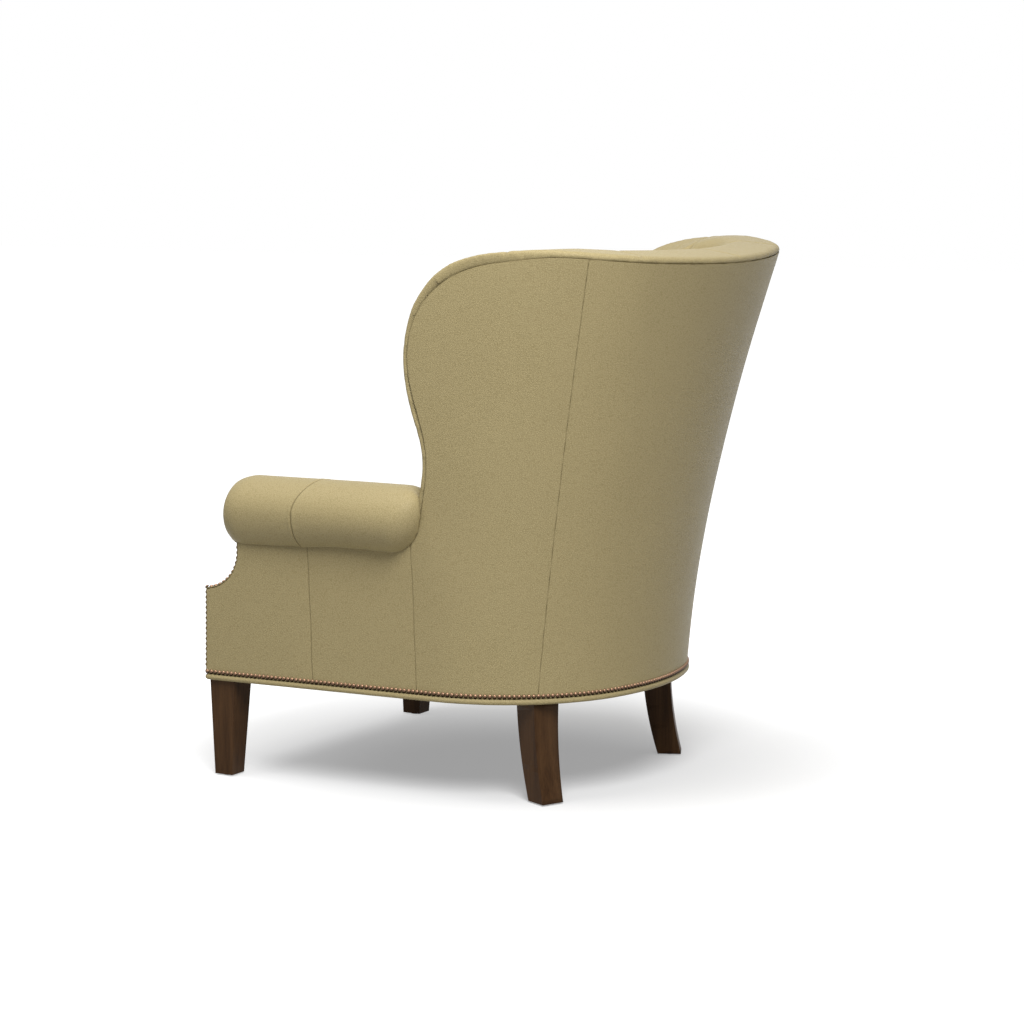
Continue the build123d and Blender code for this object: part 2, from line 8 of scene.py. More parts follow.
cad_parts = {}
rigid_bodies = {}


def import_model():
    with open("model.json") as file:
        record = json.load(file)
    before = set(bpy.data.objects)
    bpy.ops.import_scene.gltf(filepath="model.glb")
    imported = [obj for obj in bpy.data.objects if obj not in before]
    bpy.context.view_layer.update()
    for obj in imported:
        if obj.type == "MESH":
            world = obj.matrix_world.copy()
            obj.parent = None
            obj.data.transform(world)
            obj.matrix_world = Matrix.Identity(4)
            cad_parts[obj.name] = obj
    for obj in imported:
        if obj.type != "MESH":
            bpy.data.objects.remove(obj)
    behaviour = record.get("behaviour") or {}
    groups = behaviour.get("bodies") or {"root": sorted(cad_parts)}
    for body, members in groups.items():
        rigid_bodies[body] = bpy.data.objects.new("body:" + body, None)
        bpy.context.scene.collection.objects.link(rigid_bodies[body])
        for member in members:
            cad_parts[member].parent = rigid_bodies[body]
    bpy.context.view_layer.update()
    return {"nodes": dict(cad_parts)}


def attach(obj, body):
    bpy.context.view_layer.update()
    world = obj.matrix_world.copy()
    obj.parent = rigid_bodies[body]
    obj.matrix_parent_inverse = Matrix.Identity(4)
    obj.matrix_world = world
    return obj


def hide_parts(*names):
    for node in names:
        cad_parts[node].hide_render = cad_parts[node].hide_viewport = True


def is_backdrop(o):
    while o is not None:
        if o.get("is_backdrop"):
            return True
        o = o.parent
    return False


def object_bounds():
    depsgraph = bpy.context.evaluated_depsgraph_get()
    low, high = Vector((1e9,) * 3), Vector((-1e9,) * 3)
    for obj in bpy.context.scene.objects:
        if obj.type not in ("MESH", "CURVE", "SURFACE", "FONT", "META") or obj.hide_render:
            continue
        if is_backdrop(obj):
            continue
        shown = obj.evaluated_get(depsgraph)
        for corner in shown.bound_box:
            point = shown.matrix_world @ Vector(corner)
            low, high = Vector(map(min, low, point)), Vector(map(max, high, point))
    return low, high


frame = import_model()
scene = bpy.context.scene
bpy.ops.object.select_all(action="DESELECT")


# Hardwood frame: rails, posts and boards of plain sawn timber, doweled and glued.
# It is closed in by the upholstery on all sides and shows nowhere.
class Value:
    """A number that varies over a surface, as one output socket of a finish."""

    def __init__(self, finish, socket):
        self.finish = finish
        self.socket = socket

    def sum(self, operation, first, second):
        return self.finish.node("ShaderNodeMath", {"operation": operation}, {0: first, 1: second})

    def __add__(self, other):
        return self.sum("ADD", self, other)

    def __sub__(self, other):
        return self.sum("SUBTRACT", self, other)

    def __rsub__(self, other):
        return self.sum("SUBTRACT", other, self)

    def __mul__(self, other):
        return self.sum("MULTIPLY", self, other)

    __radd__ = __add__
    __rmul__ = __mul__


class Finish:
    """A material with one shader: its constants are set at once, and its varying parts added."""

    def __init__(self, name, constants):
        self.material = bpy.data.materials.new(name)
        self.material.use_nodes = True
        self.tree = self.material.node_tree
        self.shader = self.tree.nodes["Principled BSDF"]
        for socket, value in constants.items():
            self.shader.inputs[socket].default_value = value

    def node(self, kind, settings=None, inputs=None, output=0):
        made = self.tree.nodes.new(kind)
        for name, value in (settings or {}).items():
            setattr(made, name, value)
        for name, value in (inputs or {}).items():
            if isinstance(value, Value):
                self.tree.links.new(value.socket, made.inputs[name])
            else:
                made.inputs[name].default_value = value
        return Value(self, made.outputs[output])

    def place(self, stretch=(1, 1, 1)):
        here = self.node("ShaderNodeTexCoord", output="Object")
        return self.node("ShaderNodeMapping", {}, {"Vector": here, "Scale": stretch})

    def noise(self, place, scale, detail=2.0, roughness=0.5):
        inputs = {"Vector": place, "Scale": scale, "Detail": detail, "Roughness": roughness}
        return self.node("ShaderNodeTexNoise", {}, inputs, "Fac")

    def shade(self, share, low, high):
        inputs = {0: share, 6: (*low, 1), 7: (*high, 1)}
        return self.node("ShaderNodeMix", {"data_type": "RGBA"}, inputs, 2)

    def feed(self, socket, value):
        self.tree.links.new(value.socket, self.shader.inputs[socket])

    def bump(self, height, depth, strength=1.0):
        inputs = {"Height": height, "Distance": depth, "Strength": strength}
        self.feed("Normal", self.node("ShaderNodeBump", {}, inputs))


def timber(name, pale, dark, across, roughness):
    """Straight-grained wood with its grain upright."""
    wood = Finish(name, {"Roughness": roughness, "Specular IOR Level": 0.07})
    rings = wood.noise(wood.place((across, across, across / 30)), 1.0, 5.0, 0.6)
    pores = wood.noise(wood.place((across * 8, across * 8, across / 6)), 1.0, 3.0, 0.7)
    grain = rings * 0.7 + pores * 0.3
    wood.feed("Base Color", wood.shade((grain - 0.32) * 2.6, dark, pale))
    wood.feed("Roughness", roughness + (pores - 0.5) * 0.25)
    wood.bump(pores, 0.0004, 0.5)
    return wood.material


def finish_nodes(names, material):
    for name in names:
        frame["nodes"][name].data.materials.clear()
        frame["nodes"][name].data.materials.append(material)


def pair(name):
    return ["left_" + name, "right_" + name]


raw_timber = timber("raw_timber", (0.56, 0.42, 0.26), (0.4, 0.27, 0.15), 30, 0.7)
frame_nodes = ["back_rail", "crest_rail", "front_rail", "rear_seat_rail", "rear_leg_blocks"]
for board in ("side_rail", "back_post", "wing_board", "arm_post", "arm_board"):
    frame_nodes += pair(board)
finish_nodes(frame_nodes, raw_timber)


# Legs: four square hardwood legs, stained dark walnut and lacquered satin.
# The front pair tapers straight, and the rear pair turns out and sweeps back.
walnut = timber("walnut_stain", (0.078, 0.039, 0.016), (0.024, 0.0105, 0.004), 55, 0.42)
leg_nodes = pair("front_leg") + pair("rear_leg")
finish_nodes(leg_nodes, walnut)
for name in leg_nodes:
    leg = frame["nodes"][name]
    weld = leg.modifiers.new("joined_faces", "WELD")
    weld.merge_threshold = 0.00005
    edge = leg.modifiers.new("eased_edges", "BEVEL")
    edge.width = 0.0012
    edge.segments = 2
    edge.limit_method = "ANGLE"
    edge.angle_limit = math.radians(40)


# Fixings: hanger bolts and threaded inserts of plain steel, zigzag seat springs with their clips,
# and black nylon glides under the legs.
steel = Finish("drawn_steel", {"Metallic": 1.0, "Roughness": 0.35})
streaks = steel.noise(steel.place((400, 400, 60)), 1.0, 2.0)
steel.feed("Base Color", steel.shade(streaks, (0.24, 0.24, 0.25), (0.4, 0.4, 0.41)))
finish_nodes(["seat_springs", "spring_clips", "leg_hanger_bolts", "leg_inserts"], steel.material)
nylon = Finish("black_nylon", {"Roughness": 0.6})
specks = nylon.noise(nylon.place(), 900, 2.0)
nylon.feed("Base Color", nylon.shade(specks, (0.018, 0.018, 0.018), (0.04, 0.04, 0.04)))
finish_nodes(["leg_glides"], nylon.material)


# Linings: thin black cloth, woven plain, under the seat and over its springs,
# and strong jute webbing, stretched across the back of the frame.
def woven(name, thread, gap, pitch):
    """Plain-weave cloth with threads along X, Y and Z."""
    cloth = Finish(name, {"Roughness": 0.9})
    one_metre_band = 0.314
    waves = []
    for direction in ("X", "Y", "Z"):
        settings = {"wave_type": "BANDS", "bands_direction": direction}
        inputs = {"Vector": cloth.place(), "Scale": one_metre_band / pitch, "Distortion": 0.4}
        waves.append(cloth.node("ShaderNodeTexWave", settings, inputs, "Fac"))
    weave = (waves[0] + waves[1] + waves[2]) * 0.333
    cloth.feed("Base Color", cloth.shade(weave, gap, thread))
    cloth.bump(weave, 0.0006, 0.6)
    return cloth.material


lining = woven("black_lining", (0.035, 0.034, 0.032), (0.012, 0.012, 0.011), 0.0014)
finish_nodes(["spring_insulator"], lining)
jute = woven("jute_webbing", (0.42, 0.3, 0.16), (0.2, 0.14, 0.07), 0.0024)
finish_nodes(["back_webbing"], jute)


# Underside cloth: black lining cut round the leg tops, stretched over the bottom of the frame
# and stapled. It hangs a few millimetres slack between its edges.
def new_object(name, data):
    made = bpy.data.objects.new(name, data)
    scene.collection.objects.link(made)
    return made


def choose(piece):
    """Makes a piece the only one selected, and active."""
    bpy.ops.object.select_all(action="DESELECT")
    bpy.context.view_layer.objects.active = piece
    piece.select_set(True)


def finish_in(material, piece):
    """Ends work on the active piece: smooth faces, its material, and nothing selected."""
    bpy.ops.object.shade_smooth()
    piece.data.materials.clear()
    piece.data.materials.append(material)
    bpy.ops.object.select_all(action="DESELECT")


def change(piece, name, kind, **settings):
    """Puts the active piece through a modifier."""
    modifier = piece.modifiers.new(name, kind)
    for setting, value in settings.items():
        setattr(modifier, setting, value)
    bpy.ops.object.modifier_apply(modifier=modifier.name)


def fit(piece, *nodes, body="chair_body", slot="leather"):
    """Carries a piece on its body, in place of the CAD nodes it dresses."""
    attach(piece, body)
    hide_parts(*nodes)


def copy_of(node, name):
    """New piece with a CAD solid's mesh, its loose triangles joined, selected and active."""
    piece = new_object(name, frame["nodes"][node].data.copy())
    piece.data.name = name
    piece.data.materials.clear()
    choose(piece)
    bpy.ops.object.mode_set(mode="EDIT")
    bpy.ops.mesh.select_all(action="SELECT")
    bpy.ops.mesh.remove_doubles(threshold=0.00002)
    bpy.ops.mesh.select_all(action="DESELECT")
    bpy.ops.object.mode_set(mode="OBJECT")
    return piece


def open_at(piece, kind, chosen):
    """Opens the active piece in edit mode with the chosen vertices or faces selected."""
    bpy.ops.object.mode_set(mode="EDIT")
    bpy.ops.mesh.select_mode(type=kind)
    bpy.ops.mesh.select_all(action="DESELECT")
    bpy.ops.object.mode_set(mode="OBJECT")
    parts = piece.data.vertices if kind == "VERT" else piece.data.polygons
    parts.foreach_set("select", np.array(chosen, bool))
    bpy.ops.object.mode_set(mode="EDIT")


def points_of(piece):
    flat = np.empty(len(piece.data.vertices) * 3)
    piece.data.vertices.foreach_get("co", flat)
    return flat.reshape(-1, 3)


def set_points(piece, points):
    piece.data.vertices.foreach_set("co", points.ravel())
    piece.data.update()


under = copy_of("dust_cover", "underside_cloth")
open_at(under, "FACE", [face.normal.z > -0.9 for face in under.data.polygons])
bpy.ops.mesh.delete(type="FACE")
cloth_step, sag, sag_reach, ripple, taut_edge = 0.025, 0.005, 0.09, 0.0012, 0.02
for way, low, high in (((1, 0, 0), -0.375, 0.38), ((0, 1, 0), -0.475, 0.32)):
    for place in np.arange(low, high, cloth_step):
        bpy.ops.mesh.select_all(action="SELECT")
        bpy.ops.mesh.bisect(plane_co=Vector(way) * place, plane_no=way)
bpy.ops.mesh.select_mode(type="VERT")
bpy.ops.mesh.select_all(action="DESELECT")
bpy.ops.mesh.select_non_manifold()
bpy.ops.object.mode_set(mode="OBJECT")
spots = points_of(under)
rim = spots[[vertex.select for vertex in under.data.vertices]]
rim_gap = np.array([np.min(np.linalg.norm(rim - spot, axis=1)) for spot in spots])
spots[:, 2] -= sag * (1 - np.exp(-rim_gap / sag_reach))
for index, spot in enumerate(spots):
    slack = ripple * min(rim_gap[index] / taut_edge, 1)
    spots[index, 2] -= slack * abs(noise.noise(Vector(spot) * 16))
set_points(under, spots)
change(under, "cloth", "SOLIDIFY", thickness=0.0008, offset=-1)
finish_in(lining, under)
fit(under, "dust_cover", slot="lining")


# Leather of the whole cover: sage-khaki hide with a fine pebble grain and a soft sheen.
# It is paler on the tops of the pebbles, and painted shade darkens it where seams and pleats draw it
# in and round the buttons.
leather = Finish("sage_leather", {"Specular IOR Level": 0.08})
hide = leather.place()
inputs = {"Vector": hide, "Scale": 160.0, "Detail": 1.0}
wander = leather.node("ShaderNodeTexNoise", {}, inputs, "Color")
inputs = {0: wander, 1: (0.0022, 0.0022, 0.0022), 2: hide}
warped = leather.node("ShaderNodeVectorMath", {"operation": "MULTIPLY_ADD"}, inputs)
inputs = {"Vector": warped, "Scale": 330.0}
pebbles = leather.node("ShaderNodeTexVoronoi", {"feature": "F1"}, inputs, "Distance")
valleys = leather.node("ShaderNodeTexVoronoi", {"feature": "DISTANCE_TO_EDGE"}, inputs, "Distance")
inputs = {0: valleys, 1: 0.0, 2: 0.22, 3: 0.0, 4: 1.0}
crevice = leather.node("ShaderNodeMapRange", {"interpolation_type": "SMOOTHSTEP"}, inputs)
fine = leather.noise(hide, 1400, 2.0)
grain = crevice * 0.55 + (1.0 - pebbles) * 0.35 + fine * 0.1
patches = leather.noise(hide, 5.0, 3.0, 0.5)
# painted shade: a per-point attribute, high along seams, pleats and round the buttons, mixes the
# hide towards a dark brown shade colour
drawn = leather.node("ShaderNodeAttribute", {"attribute_name": "painted_crease_shade"}, {}, "Fac")
tone = 0.2 + patches * 0.12 + grain * 0.55
hide_colour = leather.shade(tone, (0.205, 0.161, 0.073), (0.385, 0.32, 0.172))
inputs = {0: drawn * 0.75, 6: hide_colour, 7: (0.085, 0.064, 0.026, 1)}
leather.feed("Base Color", leather.node("ShaderNodeMix", {"data_type": "RGBA"}, inputs, 2))
leather.feed("Roughness", 0.46 - grain * 0.1)
leather.bump(grain, 0.0008, 0.38)


# Outside panels: leather drawn over wadding on the frame, sewn in upright seams at the rear corners
# and along the arms, and turned in under the rolled edge at the top.
front_face = -0.499
panel_bottom = 0.2123
wing_joint_y = -0.012
arm_panel_seam_y = -0.247
arm_board_top = 0.521
seam_drop = 0.013
shell_bottom, shell_top, shell_height = 0.2, 1.065, 0.865
mesh_step, fine_step = 0.009, 0.007
every_edge = ("start", "end", "top", "bottom")


class Outline:
    """D-shaped outline: sides that close in to the rear, round corners and a shallow rear arc."""

    def __init__(self, half, taper, rear, rear_radius, corner_radius):
        self.half, self.taper = half, taper
        self.rear_radius, self.corner_radius = rear_radius, corner_radius
        along = Vector((-taper, 1)).normalized()
        inward = Vector((-along.y, along.x))
        self.rear_centre = Vector((0, rear - rear_radius))
        first = Vector((half, front_face)) + inward * corner_radius - self.rear_centre
        ahead = first.dot(along)
        gap = first.dot(first) - (rear_radius - corner_radius) ** 2
        run = -ahead + math.sqrt(ahead * ahead - gap)
        self.corner_centre = self.rear_centre + first + along * run
        self.side_end = self.corner_centre - inward * corner_radius
        self.along, self.inward = along, inward
        turn = self.corner_centre - self.rear_centre
        self.rear_turn = math.atan2(turn.x, turn.y)
        self.side_turn = math.atan2(-inward.x, -inward.y)
        self.rear_length = self.rear_turn * rear_radius
        self.corner_length = (self.side_turn - self.rear_turn) * corner_radius
        self.round_length = self.rear_length + self.corner_length

    def length_to(self, front):
        """Distance along the outline from the rear centre to where a side meets a straight front."""
        return self.round_length + (self.side_end.y - front) / self.along.y

    def walk(self, distance):
        """Point at a distance along the outline from the rear centre, and the way out there."""
        side, distance = math.copysign(1, distance), abs(distance)
        if distance < self.rear_length:
            angle = distance / self.rear_radius
            out = Vector((math.sin(angle), math.cos(angle)))
            point = self.rear_centre + out * self.rear_radius
        elif distance < self.round_length:
            angle = self.rear_turn + (distance - self.rear_length) / self.corner_radius
            out = Vector((math.sin(angle), math.cos(angle)))
            point = self.corner_centre + out * self.corner_radius
        else:
            out = -self.inward
            point = self.side_end - self.along * (distance - self.rear_length - self.corner_length)
        return Vector((point.x * side, point.y)), Vector((out.x * side, out.y))

    def side_x(self, y):
        """Half width at depth y, along the side or round the corner."""
        if y <= self.side_end.y:
            return self.half - self.taper * (y - front_face)
        across = self.corner_radius ** 2 - (y - self.corner_centre.y) ** 2
        return self.corner_centre.x + math.sqrt(max(across, 0))


def barrel(z, inset=0.0):
    """The chair's outside at height z, flaring out and back towards the top."""
    rise = max(z - shell_bottom, 0) / shell_height
    side, rear = rise ** 1.21, rise ** 1.55
    taper = 0.054 - 0.029 * side
    half = 0.4 + 0.053 * side - inset * math.hypot(1, taper)
    sizes = (0.337 + 0.169 * rear, 0.49 + 0.314 * rear, 0.32 - 0.076 * rear)
    return Outline(half, taper, *(size - inset for size in sizes))


def spline(points, start, end):
    """Smooth line through points, leaving and arriving in the given directions, as 400 points."""
    points = np.array(points, float)
    steps = np.linalg.norm(np.diff(points, axis=0), axis=1)
    knots = np.concatenate([[0], np.cumsum(steps)])
    count = len(points)
    system = np.zeros((count, count))
    wanted = np.zeros((count, 2))
    system[0, 0] = system[-1, -1] = 1
    wanted[0] = np.array(start) / np.linalg.norm(start)
    wanted[-1] = np.array(end) / np.linalg.norm(end)
    for i in range(1, count - 1):
        before, after = steps[i - 1], steps[i]
        system[i, i - 1 : i + 2] = after, 2 * (before + after), before
        slope_before = (points[i] - points[i - 1]) / before
        slope_after = (points[i + 1] - points[i]) / after
        wanted[i] = 3 * (after * slope_before + before * slope_after)
    slopes = np.linalg.solve(system, wanted)
    line = []
    for value in np.linspace(0, knots[-1], 400):
        i = min(np.searchsorted(knots, value, "right") - 1, count - 2)
        t = (value - knots[i]) / steps[i]
        line.append(
            (1 + 2 * t) * (1 - t) ** 2 * points[i]
            + t * (1 - t) ** 2 * steps[i] * slopes[i]
            + t * t * (3 - 2 * t) * points[i + 1]
            + t * t * (t - 1) * steps[i] * slopes[i + 1]
        )
    return np.array(line)


def wing_edge(drop):
    """Side view of the wing's front and the top edge, from the arm to the rear, drawn in by drop."""
    points = [
        (wing_joint_y + drop, 0.487),
        (0.018 + drop, 0.69),
        (-0.013 + drop, 0.855),
        (0.033 + drop * 0.8, 1.0 - drop * 0.6),
        (0.115 + drop * 0.3, 1.064 - drop * 0.95),
        (0.308, 1.089 - drop),
        (0.461, 1.072 - drop),
        (0.571, 1.054 - drop),
    ]
    return spline(points, (0, 1), (1, -0.15))


def ease(values, low, high):
    """Share of the way from low to high, smooth at both ends."""
    share = np.clip((values - low) / (high - low), 0, 1)
    return share * share * (3 - 2 * share)


def broader(line):
    """How much broader the rolled edge is over the shoulder along a line, and the way in from it."""
    run = np.gradient(line, axis=0)
    run /= np.linalg.norm(run, axis=1, keepdims=True)
    turn = np.degrees(np.arctan2(run[:, 0], run[:, 1]))
    most = 0.013
    more = most * ease(turn, 10, 80) * (1 - ease(line[:, 0], 0.2, 0.36))
    return more, np.stack([run[:, 1], -run[:, 0]], axis=1)


seam_line = wing_edge(seam_drop)
more, inward = broader(seam_line)
seam_line += inward * more[:, None]
shoulder = int(np.argmax(seam_line[:, 0] > 0.05))


def top_height(y):
    """Height of the top seam at depth y, behind the shoulder."""
    return float(np.interp(y, seam_line[shoulder:, 0], seam_line[shoulder:, 1]))


def seam_plane():
    """A point of the plane in which the rear corner's seam lies, and the way to the rear from it."""
    ends = []
    for z, share in ((shell_bottom, 0.54), (shell_top, 0.517)):
        shape = barrel(z)
        angle = shape.side_turn + (shape.rear_turn - shape.side_turn) * share
        out = Vector((math.sin(angle), math.cos(angle)))
        ends.append((shape.corner_centre + out * shape.corner_radius, out, z))
    low, high = (Vector((point.x, point.y, z)) for point, out, z in ends)
    outward = Vector((ends[0][1].x, ends[0][1].y, 0))
    return low, -outward.cross((high - low).normalized())


seam_origin, seam_rearward = seam_plane()


def corner_seam(z):
    """Distance along the barrel from the rear centre to the upright seam at the rear corner."""
    shape = barrel(z)
    near, far = shape.rear_length, shape.round_length
    for halving in range(30):
        middle = (near + far) / 2
        point = shape.walk(middle)[0]
        behind = (Vector((point.x, point.y, z)) - seam_origin).dot(seam_rearward)
        near, far = (middle, far) if behind > 0 else (near, middle)
    return middle


def spread(length, step):
    """Shares of a length, close together near both ends where the leather turns in."""
    near = np.array([0, 0.0005, 0.0012, 0.0022, 0.0035, 0.0055, 0.0085, 0.013, 0.02])
    count = max(int((length - 2 * near[-1]) / step), 1)
    middle = np.linspace(near[-1], length - near[-1], count + 1)
    return np.concatenate([near[:-1], middle, length - near[:-1][::-1]]) / length


def along(line, shares):
    """Points at shares of the length of a line."""
    line = np.array(line, float)
    steps = np.linalg.norm(np.diff(line, axis=0), axis=1)
    marks = np.concatenate([[0], np.cumsum(steps)])
    places = shares * marks[-1]
    return np.stack([np.interp(places, marks, values) for values in line.T], axis=1)


def patch(bottom, top, start, end, us, vs):
    """Grid of points filling the space between four lines, each given in the direction of u or v."""
    low, high = along(bottom, us)[:, None], along(top, us)[:, None]
    left, right = along(start, vs)[None], along(end, vs)[None]
    u, v = us[:, None, None], vs[None, :, None]
    corners = (1 - u) * (1 - v) * low[0, 0] + u * (1 - v) * low[-1, 0]
    corners = corners + (1 - u) * v * high[0, 0] + u * v * high[-1, 0]
    return (1 - v) * low + v * high + (1 - u) * left + u * right - corners


def leather_panel(name, points, outward, turned):
    """Sheet of leather laid on a grid of points, turned in along the edges named in turned."""
    thickness, turn = 0.0025, 0.0013
    fullness, filled_over = 0.0012, 0.05
    unevenness, puckering, puckered_over = 0.0006, 0.0006, 0.014
    painted_seam_shade, seam_width = 0.65, 0.0011
    columns, rows = points.shape[:2]
    across = np.gradient(points, axis=0)
    up = np.gradient(points, axis=1)
    normal = np.cross(across, up)
    normal /= np.linalg.norm(normal, axis=2, keepdims=True)
    flip = np.sum(normal * outward) < 0
    normal = -normal if flip else normal
    edges = {"start": points[0], "end": points[-1], "bottom": points[:, 0], "top": points[:, -1]}
    seams = np.concatenate([along(edges[side], np.linspace(0, 1, 400)) for side in turned])
    tree = kdtree.KDTree(len(seams))
    for index, point in enumerate(seams):
        tree.insert(point, index)
    tree.balance()
    moved = np.empty_like(points)
    painted_crease_shade = np.zeros((columns, rows))
    for i in range(columns):
        for j in range(rows):
            point = Vector(points[i, j])
            nearest, index, gap = tree.find(point)
            inside = max(turn - gap, 0)
            lift = math.sqrt(max(turn * turn - inside * inside, 0)) - turn
            lift += fullness * (1 - math.exp(-gap / filled_over))
            lift += unevenness * noise.noise(point * 6)
            pucker = noise.noise(nearest * 55) + 0.6 * noise.noise(nearest * 120)
            lift += puckering * pucker * math.exp(-gap / puckered_over) * min(gap / 0.003, 1)
            moved[i, j] = points[i, j] + normal[i, j] * lift
            # painted shade along each turned-in seam, kept with each point for the leather's colour
            painted_crease_shade[i, j] = painted_seam_shade * math.exp(-((gap / seam_width) ** 2))
    bpy.ops.mesh.primitive_grid_add(x_subdivisions=columns - 1, y_subdivisions=rows - 1, size=1)
    piece = bpy.context.object
    piece.name = piece.data.name = name
    flat = points_of(piece)
    i = np.rint((flat[:, 0] + 0.5) * (columns - 1)).astype(int)
    j = np.rint((flat[:, 1] + 0.5) * (rows - 1)).astype(int)
    piece.data.vertices.foreach_set("co", moved[i, j].ravel())
    piece.data.attributes.new("painted_crease_shade", "FLOAT", "POINT").data.foreach_set("value", painted_crease_shade[i, j])
    if flip:
        piece.data.flip_normals()
    change(piece, "hide", "SOLIDIFY", thickness=thickness, offset=-1)
    finish_in(leather.material, piece)
    return piece


def fit_pair(piece, *nodes):
    """Carries a left-hand panel and its mirrored twin, in place of both sides' CAD nodes."""
    fit(piece, *("left_" + node for node in nodes))
    other = new_object(piece.name.replace("left_", "right_"), piece.data.copy())
    set_points(other, points_of(other) * (-1, 1, 1))
    other.data.flip_normals()
    fit(other, *("right_" + node for node in nodes))


def on_side(places):
    """Points of the barrel's left side for a grid of depths and heights."""
    return np.array([[(barrel(z).side_x(y), y, z) for y, z in row] for row in places])


def hand_seam(y, high):
    """Upright seam along the arm, as a sewer guides it: never quite straight."""
    wander = 0.0013
    heights = np.linspace(panel_bottom, high, 40)
    return [(y + wander * noise.noise(Vector((60 * y, 0, 13 * z))), z) for z in heights]


# outside wing: from the rear corner seam to the wing's front edge
heights = np.linspace(panel_bottom, 1.08, 60)
rear_line = np.array([(barrel(z).walk(corner_seam(z))[0].y, z) for z in heights])
over = np.array([top_height(y) for y in rear_line[:, 0]])
last = int(np.argmax(rear_line[:, 1] > over))
climb = rear_line[last, 1] - rear_line[last - 1, 1] - over[last] + over[last - 1]
share = (over[last - 1] - rear_line[last - 1, 1]) / climb
seam_top = rear_line[last - 1] + share * (rear_line[last] - rear_line[last - 1])
rear_line = np.vstack([rear_line[:last], seam_top])
from_shoulder = np.abs(seam_line[:, 0] + 1.2 * seam_line[:, 1] - 1.25) + (seam_line[:, 1] < 0.9)
bend = int(np.argmin(from_shoulder))
wing_front = seam_line[: bend + 1]
front_line = np.vstack([hand_seam(wing_joint_y, 0.52), wing_front[wing_front[:, 1] > 0.56]])
top_line = seam_line[bend:]
top_line = np.vstack([top_line[top_line[:, 0] < seam_top[0]], seam_top])[::-1]
bottom_line = np.array([rear_line[0], front_line[0]])
us, vs = spread(0.36, mesh_step), spread(0.86, mesh_step)
places = patch(bottom_line, top_line, rear_line, front_line, us, vs)
wing = leather_panel("left_outside_wing", on_side(places), (1, 0.3, 0), every_edge)
fit_pair(wing, "outside_wing_panel", "outside_wing_wadding")

# outside back: between the two corner seams
us, vs = spread(0.7, mesh_step), spread(0.86, mesh_step)
grid = np.empty((len(us), len(vs), 3))
for i, u in enumerate(us):
    z = 1.06
    for settle in range(12):
        y = barrel(z).walk((2 * u - 1) * corner_seam(z))[0].y
        z = top_height(y)
    for j, v in enumerate(vs):
        height = panel_bottom + (z - panel_bottom) * v
        point = barrel(height).walk((2 * u - 1) * corner_seam(height))[0]
        grid[i, j] = point.x, point.y, height
back = leather_panel("outside_back", grid, (0, 1, 0), every_edge)
fit(back, "outside_back_panel", "outside_back_wadding")

# outside arm, behind its seam and in front of it, where it follows the swept front
sides = [hand_seam(wing_joint_y, arm_board_top), hand_seam(arm_panel_seam_y, arm_board_top)]
level = [[line[k] for line in sides] for k in (0, -1)]
us, vs = spread(0.235, mesh_step), spread(0.31, mesh_step)
places = patch(level[0], level[1], sides[0], sides[1], us, vs)
sewn = ("start", "end", "bottom")
arm_rear = leather_panel("left_outside_arm_rear", on_side(places), (1, 0, 0), sewn)
fit_pair(arm_rear, "outside_arm_rear_panel", "outside_arm_wadding")


def arm_front_line(inset):
    """Side view of the chair's front: leaning back up the base, then swept back under the roll."""
    sill, top, sweep_top = front_face + 0.009, -0.412, 0.474
    run, drop = top - sill, 0.083
    radius = (run * run + drop * drop) / (2 * run)
    centre = top - radius
    turn = math.acos((sill + inset - centre) / (radius + inset))
    line = [(front_face + inset, panel_bottom)]
    swept = radius + inset
    for angle in np.linspace(turn, 0, 24):
        line.append((centre + swept * math.cos(angle), sweep_top - swept * math.sin(angle)))
    return np.array(line + [(top + inset, arm_board_top)])


front_edge = arm_front_line(0.0028)
rear_edge = hand_seam(arm_panel_seam_y, arm_board_top)
level = [(rear_edge[0], front_edge[0]), (rear_edge[-1], front_edge[-1])]
us, vs = spread(0.25, fine_step), spread(0.31, fine_step)
places = patch(level[0], level[1], rear_edge, front_edge, us, vs)
arm_fore = leather_panel("left_outside_arm_front", on_side(places), (1, 0, 0), ("start", "bottom"))
fit_pair(arm_fore, "outside_arm_front_panel")


# Arm fronts and front border: leather over thin wadding, drawn down the swept front of each arm
# and across the leaning front of the base, and turned in along every edge.
roll_x, roll_z, roll_narrowing = 0.367, 0.555, 0.36
inner_reach, lowered, tucked_back = 0.0767, 0.034, 0.014
face_line = arm_front_line(0)
us, vs = spread(0.11, fine_step), spread(0.33, fine_step)
grid = np.empty((len(us), len(vs), 3))
for j, (y, z) in enumerate(along(face_line, vs)):
    inside = roll_x - inner_reach * (1 - roll_narrowing * ease(z, 0.47, 0.54))
    across = inside + (barrel(z).side_x(y) - inside) * us
    under_roll = z - lowered * ease(z, 0.474, 0.521) * (1 - ease(across, 0.3, 0.345))
    drawn_back = y + tucked_back * (1 - ease(across - inside, 0, 0.01)) * ease(z, 0.42, 0.46)
    grid[:, j] = np.stack([across, drawn_back, under_roll], axis=1)
arm_face = leather_panel("left_arm_front", grid, (0, -1, 0), ("start", "end", "bottom", "top"))
fit_pair(arm_face, "arm_front_panel", "arm_front_wadding")
border_width, border_top = 0.5794, 0.364
us = spread(0.58, mesh_step)
vs = np.concatenate([spread(0.145, mesh_step)[:-8] * 0.86, np.linspace(0.87, 1, 14)])
grid = np.empty((len(us), len(vs), 3))
sill_y = float(np.interp(border_top, face_line[:2, 1], face_line[:2, 0]))
border_line = [(front_face, panel_bottom), (sill_y, border_top)]
for back_turn, z in ((0.0012, 0.3672), (0.004, 0.369), (0.009, 0.3696), (0.022, 0.3696)):
    border_line.append((sill_y + back_turn, z))
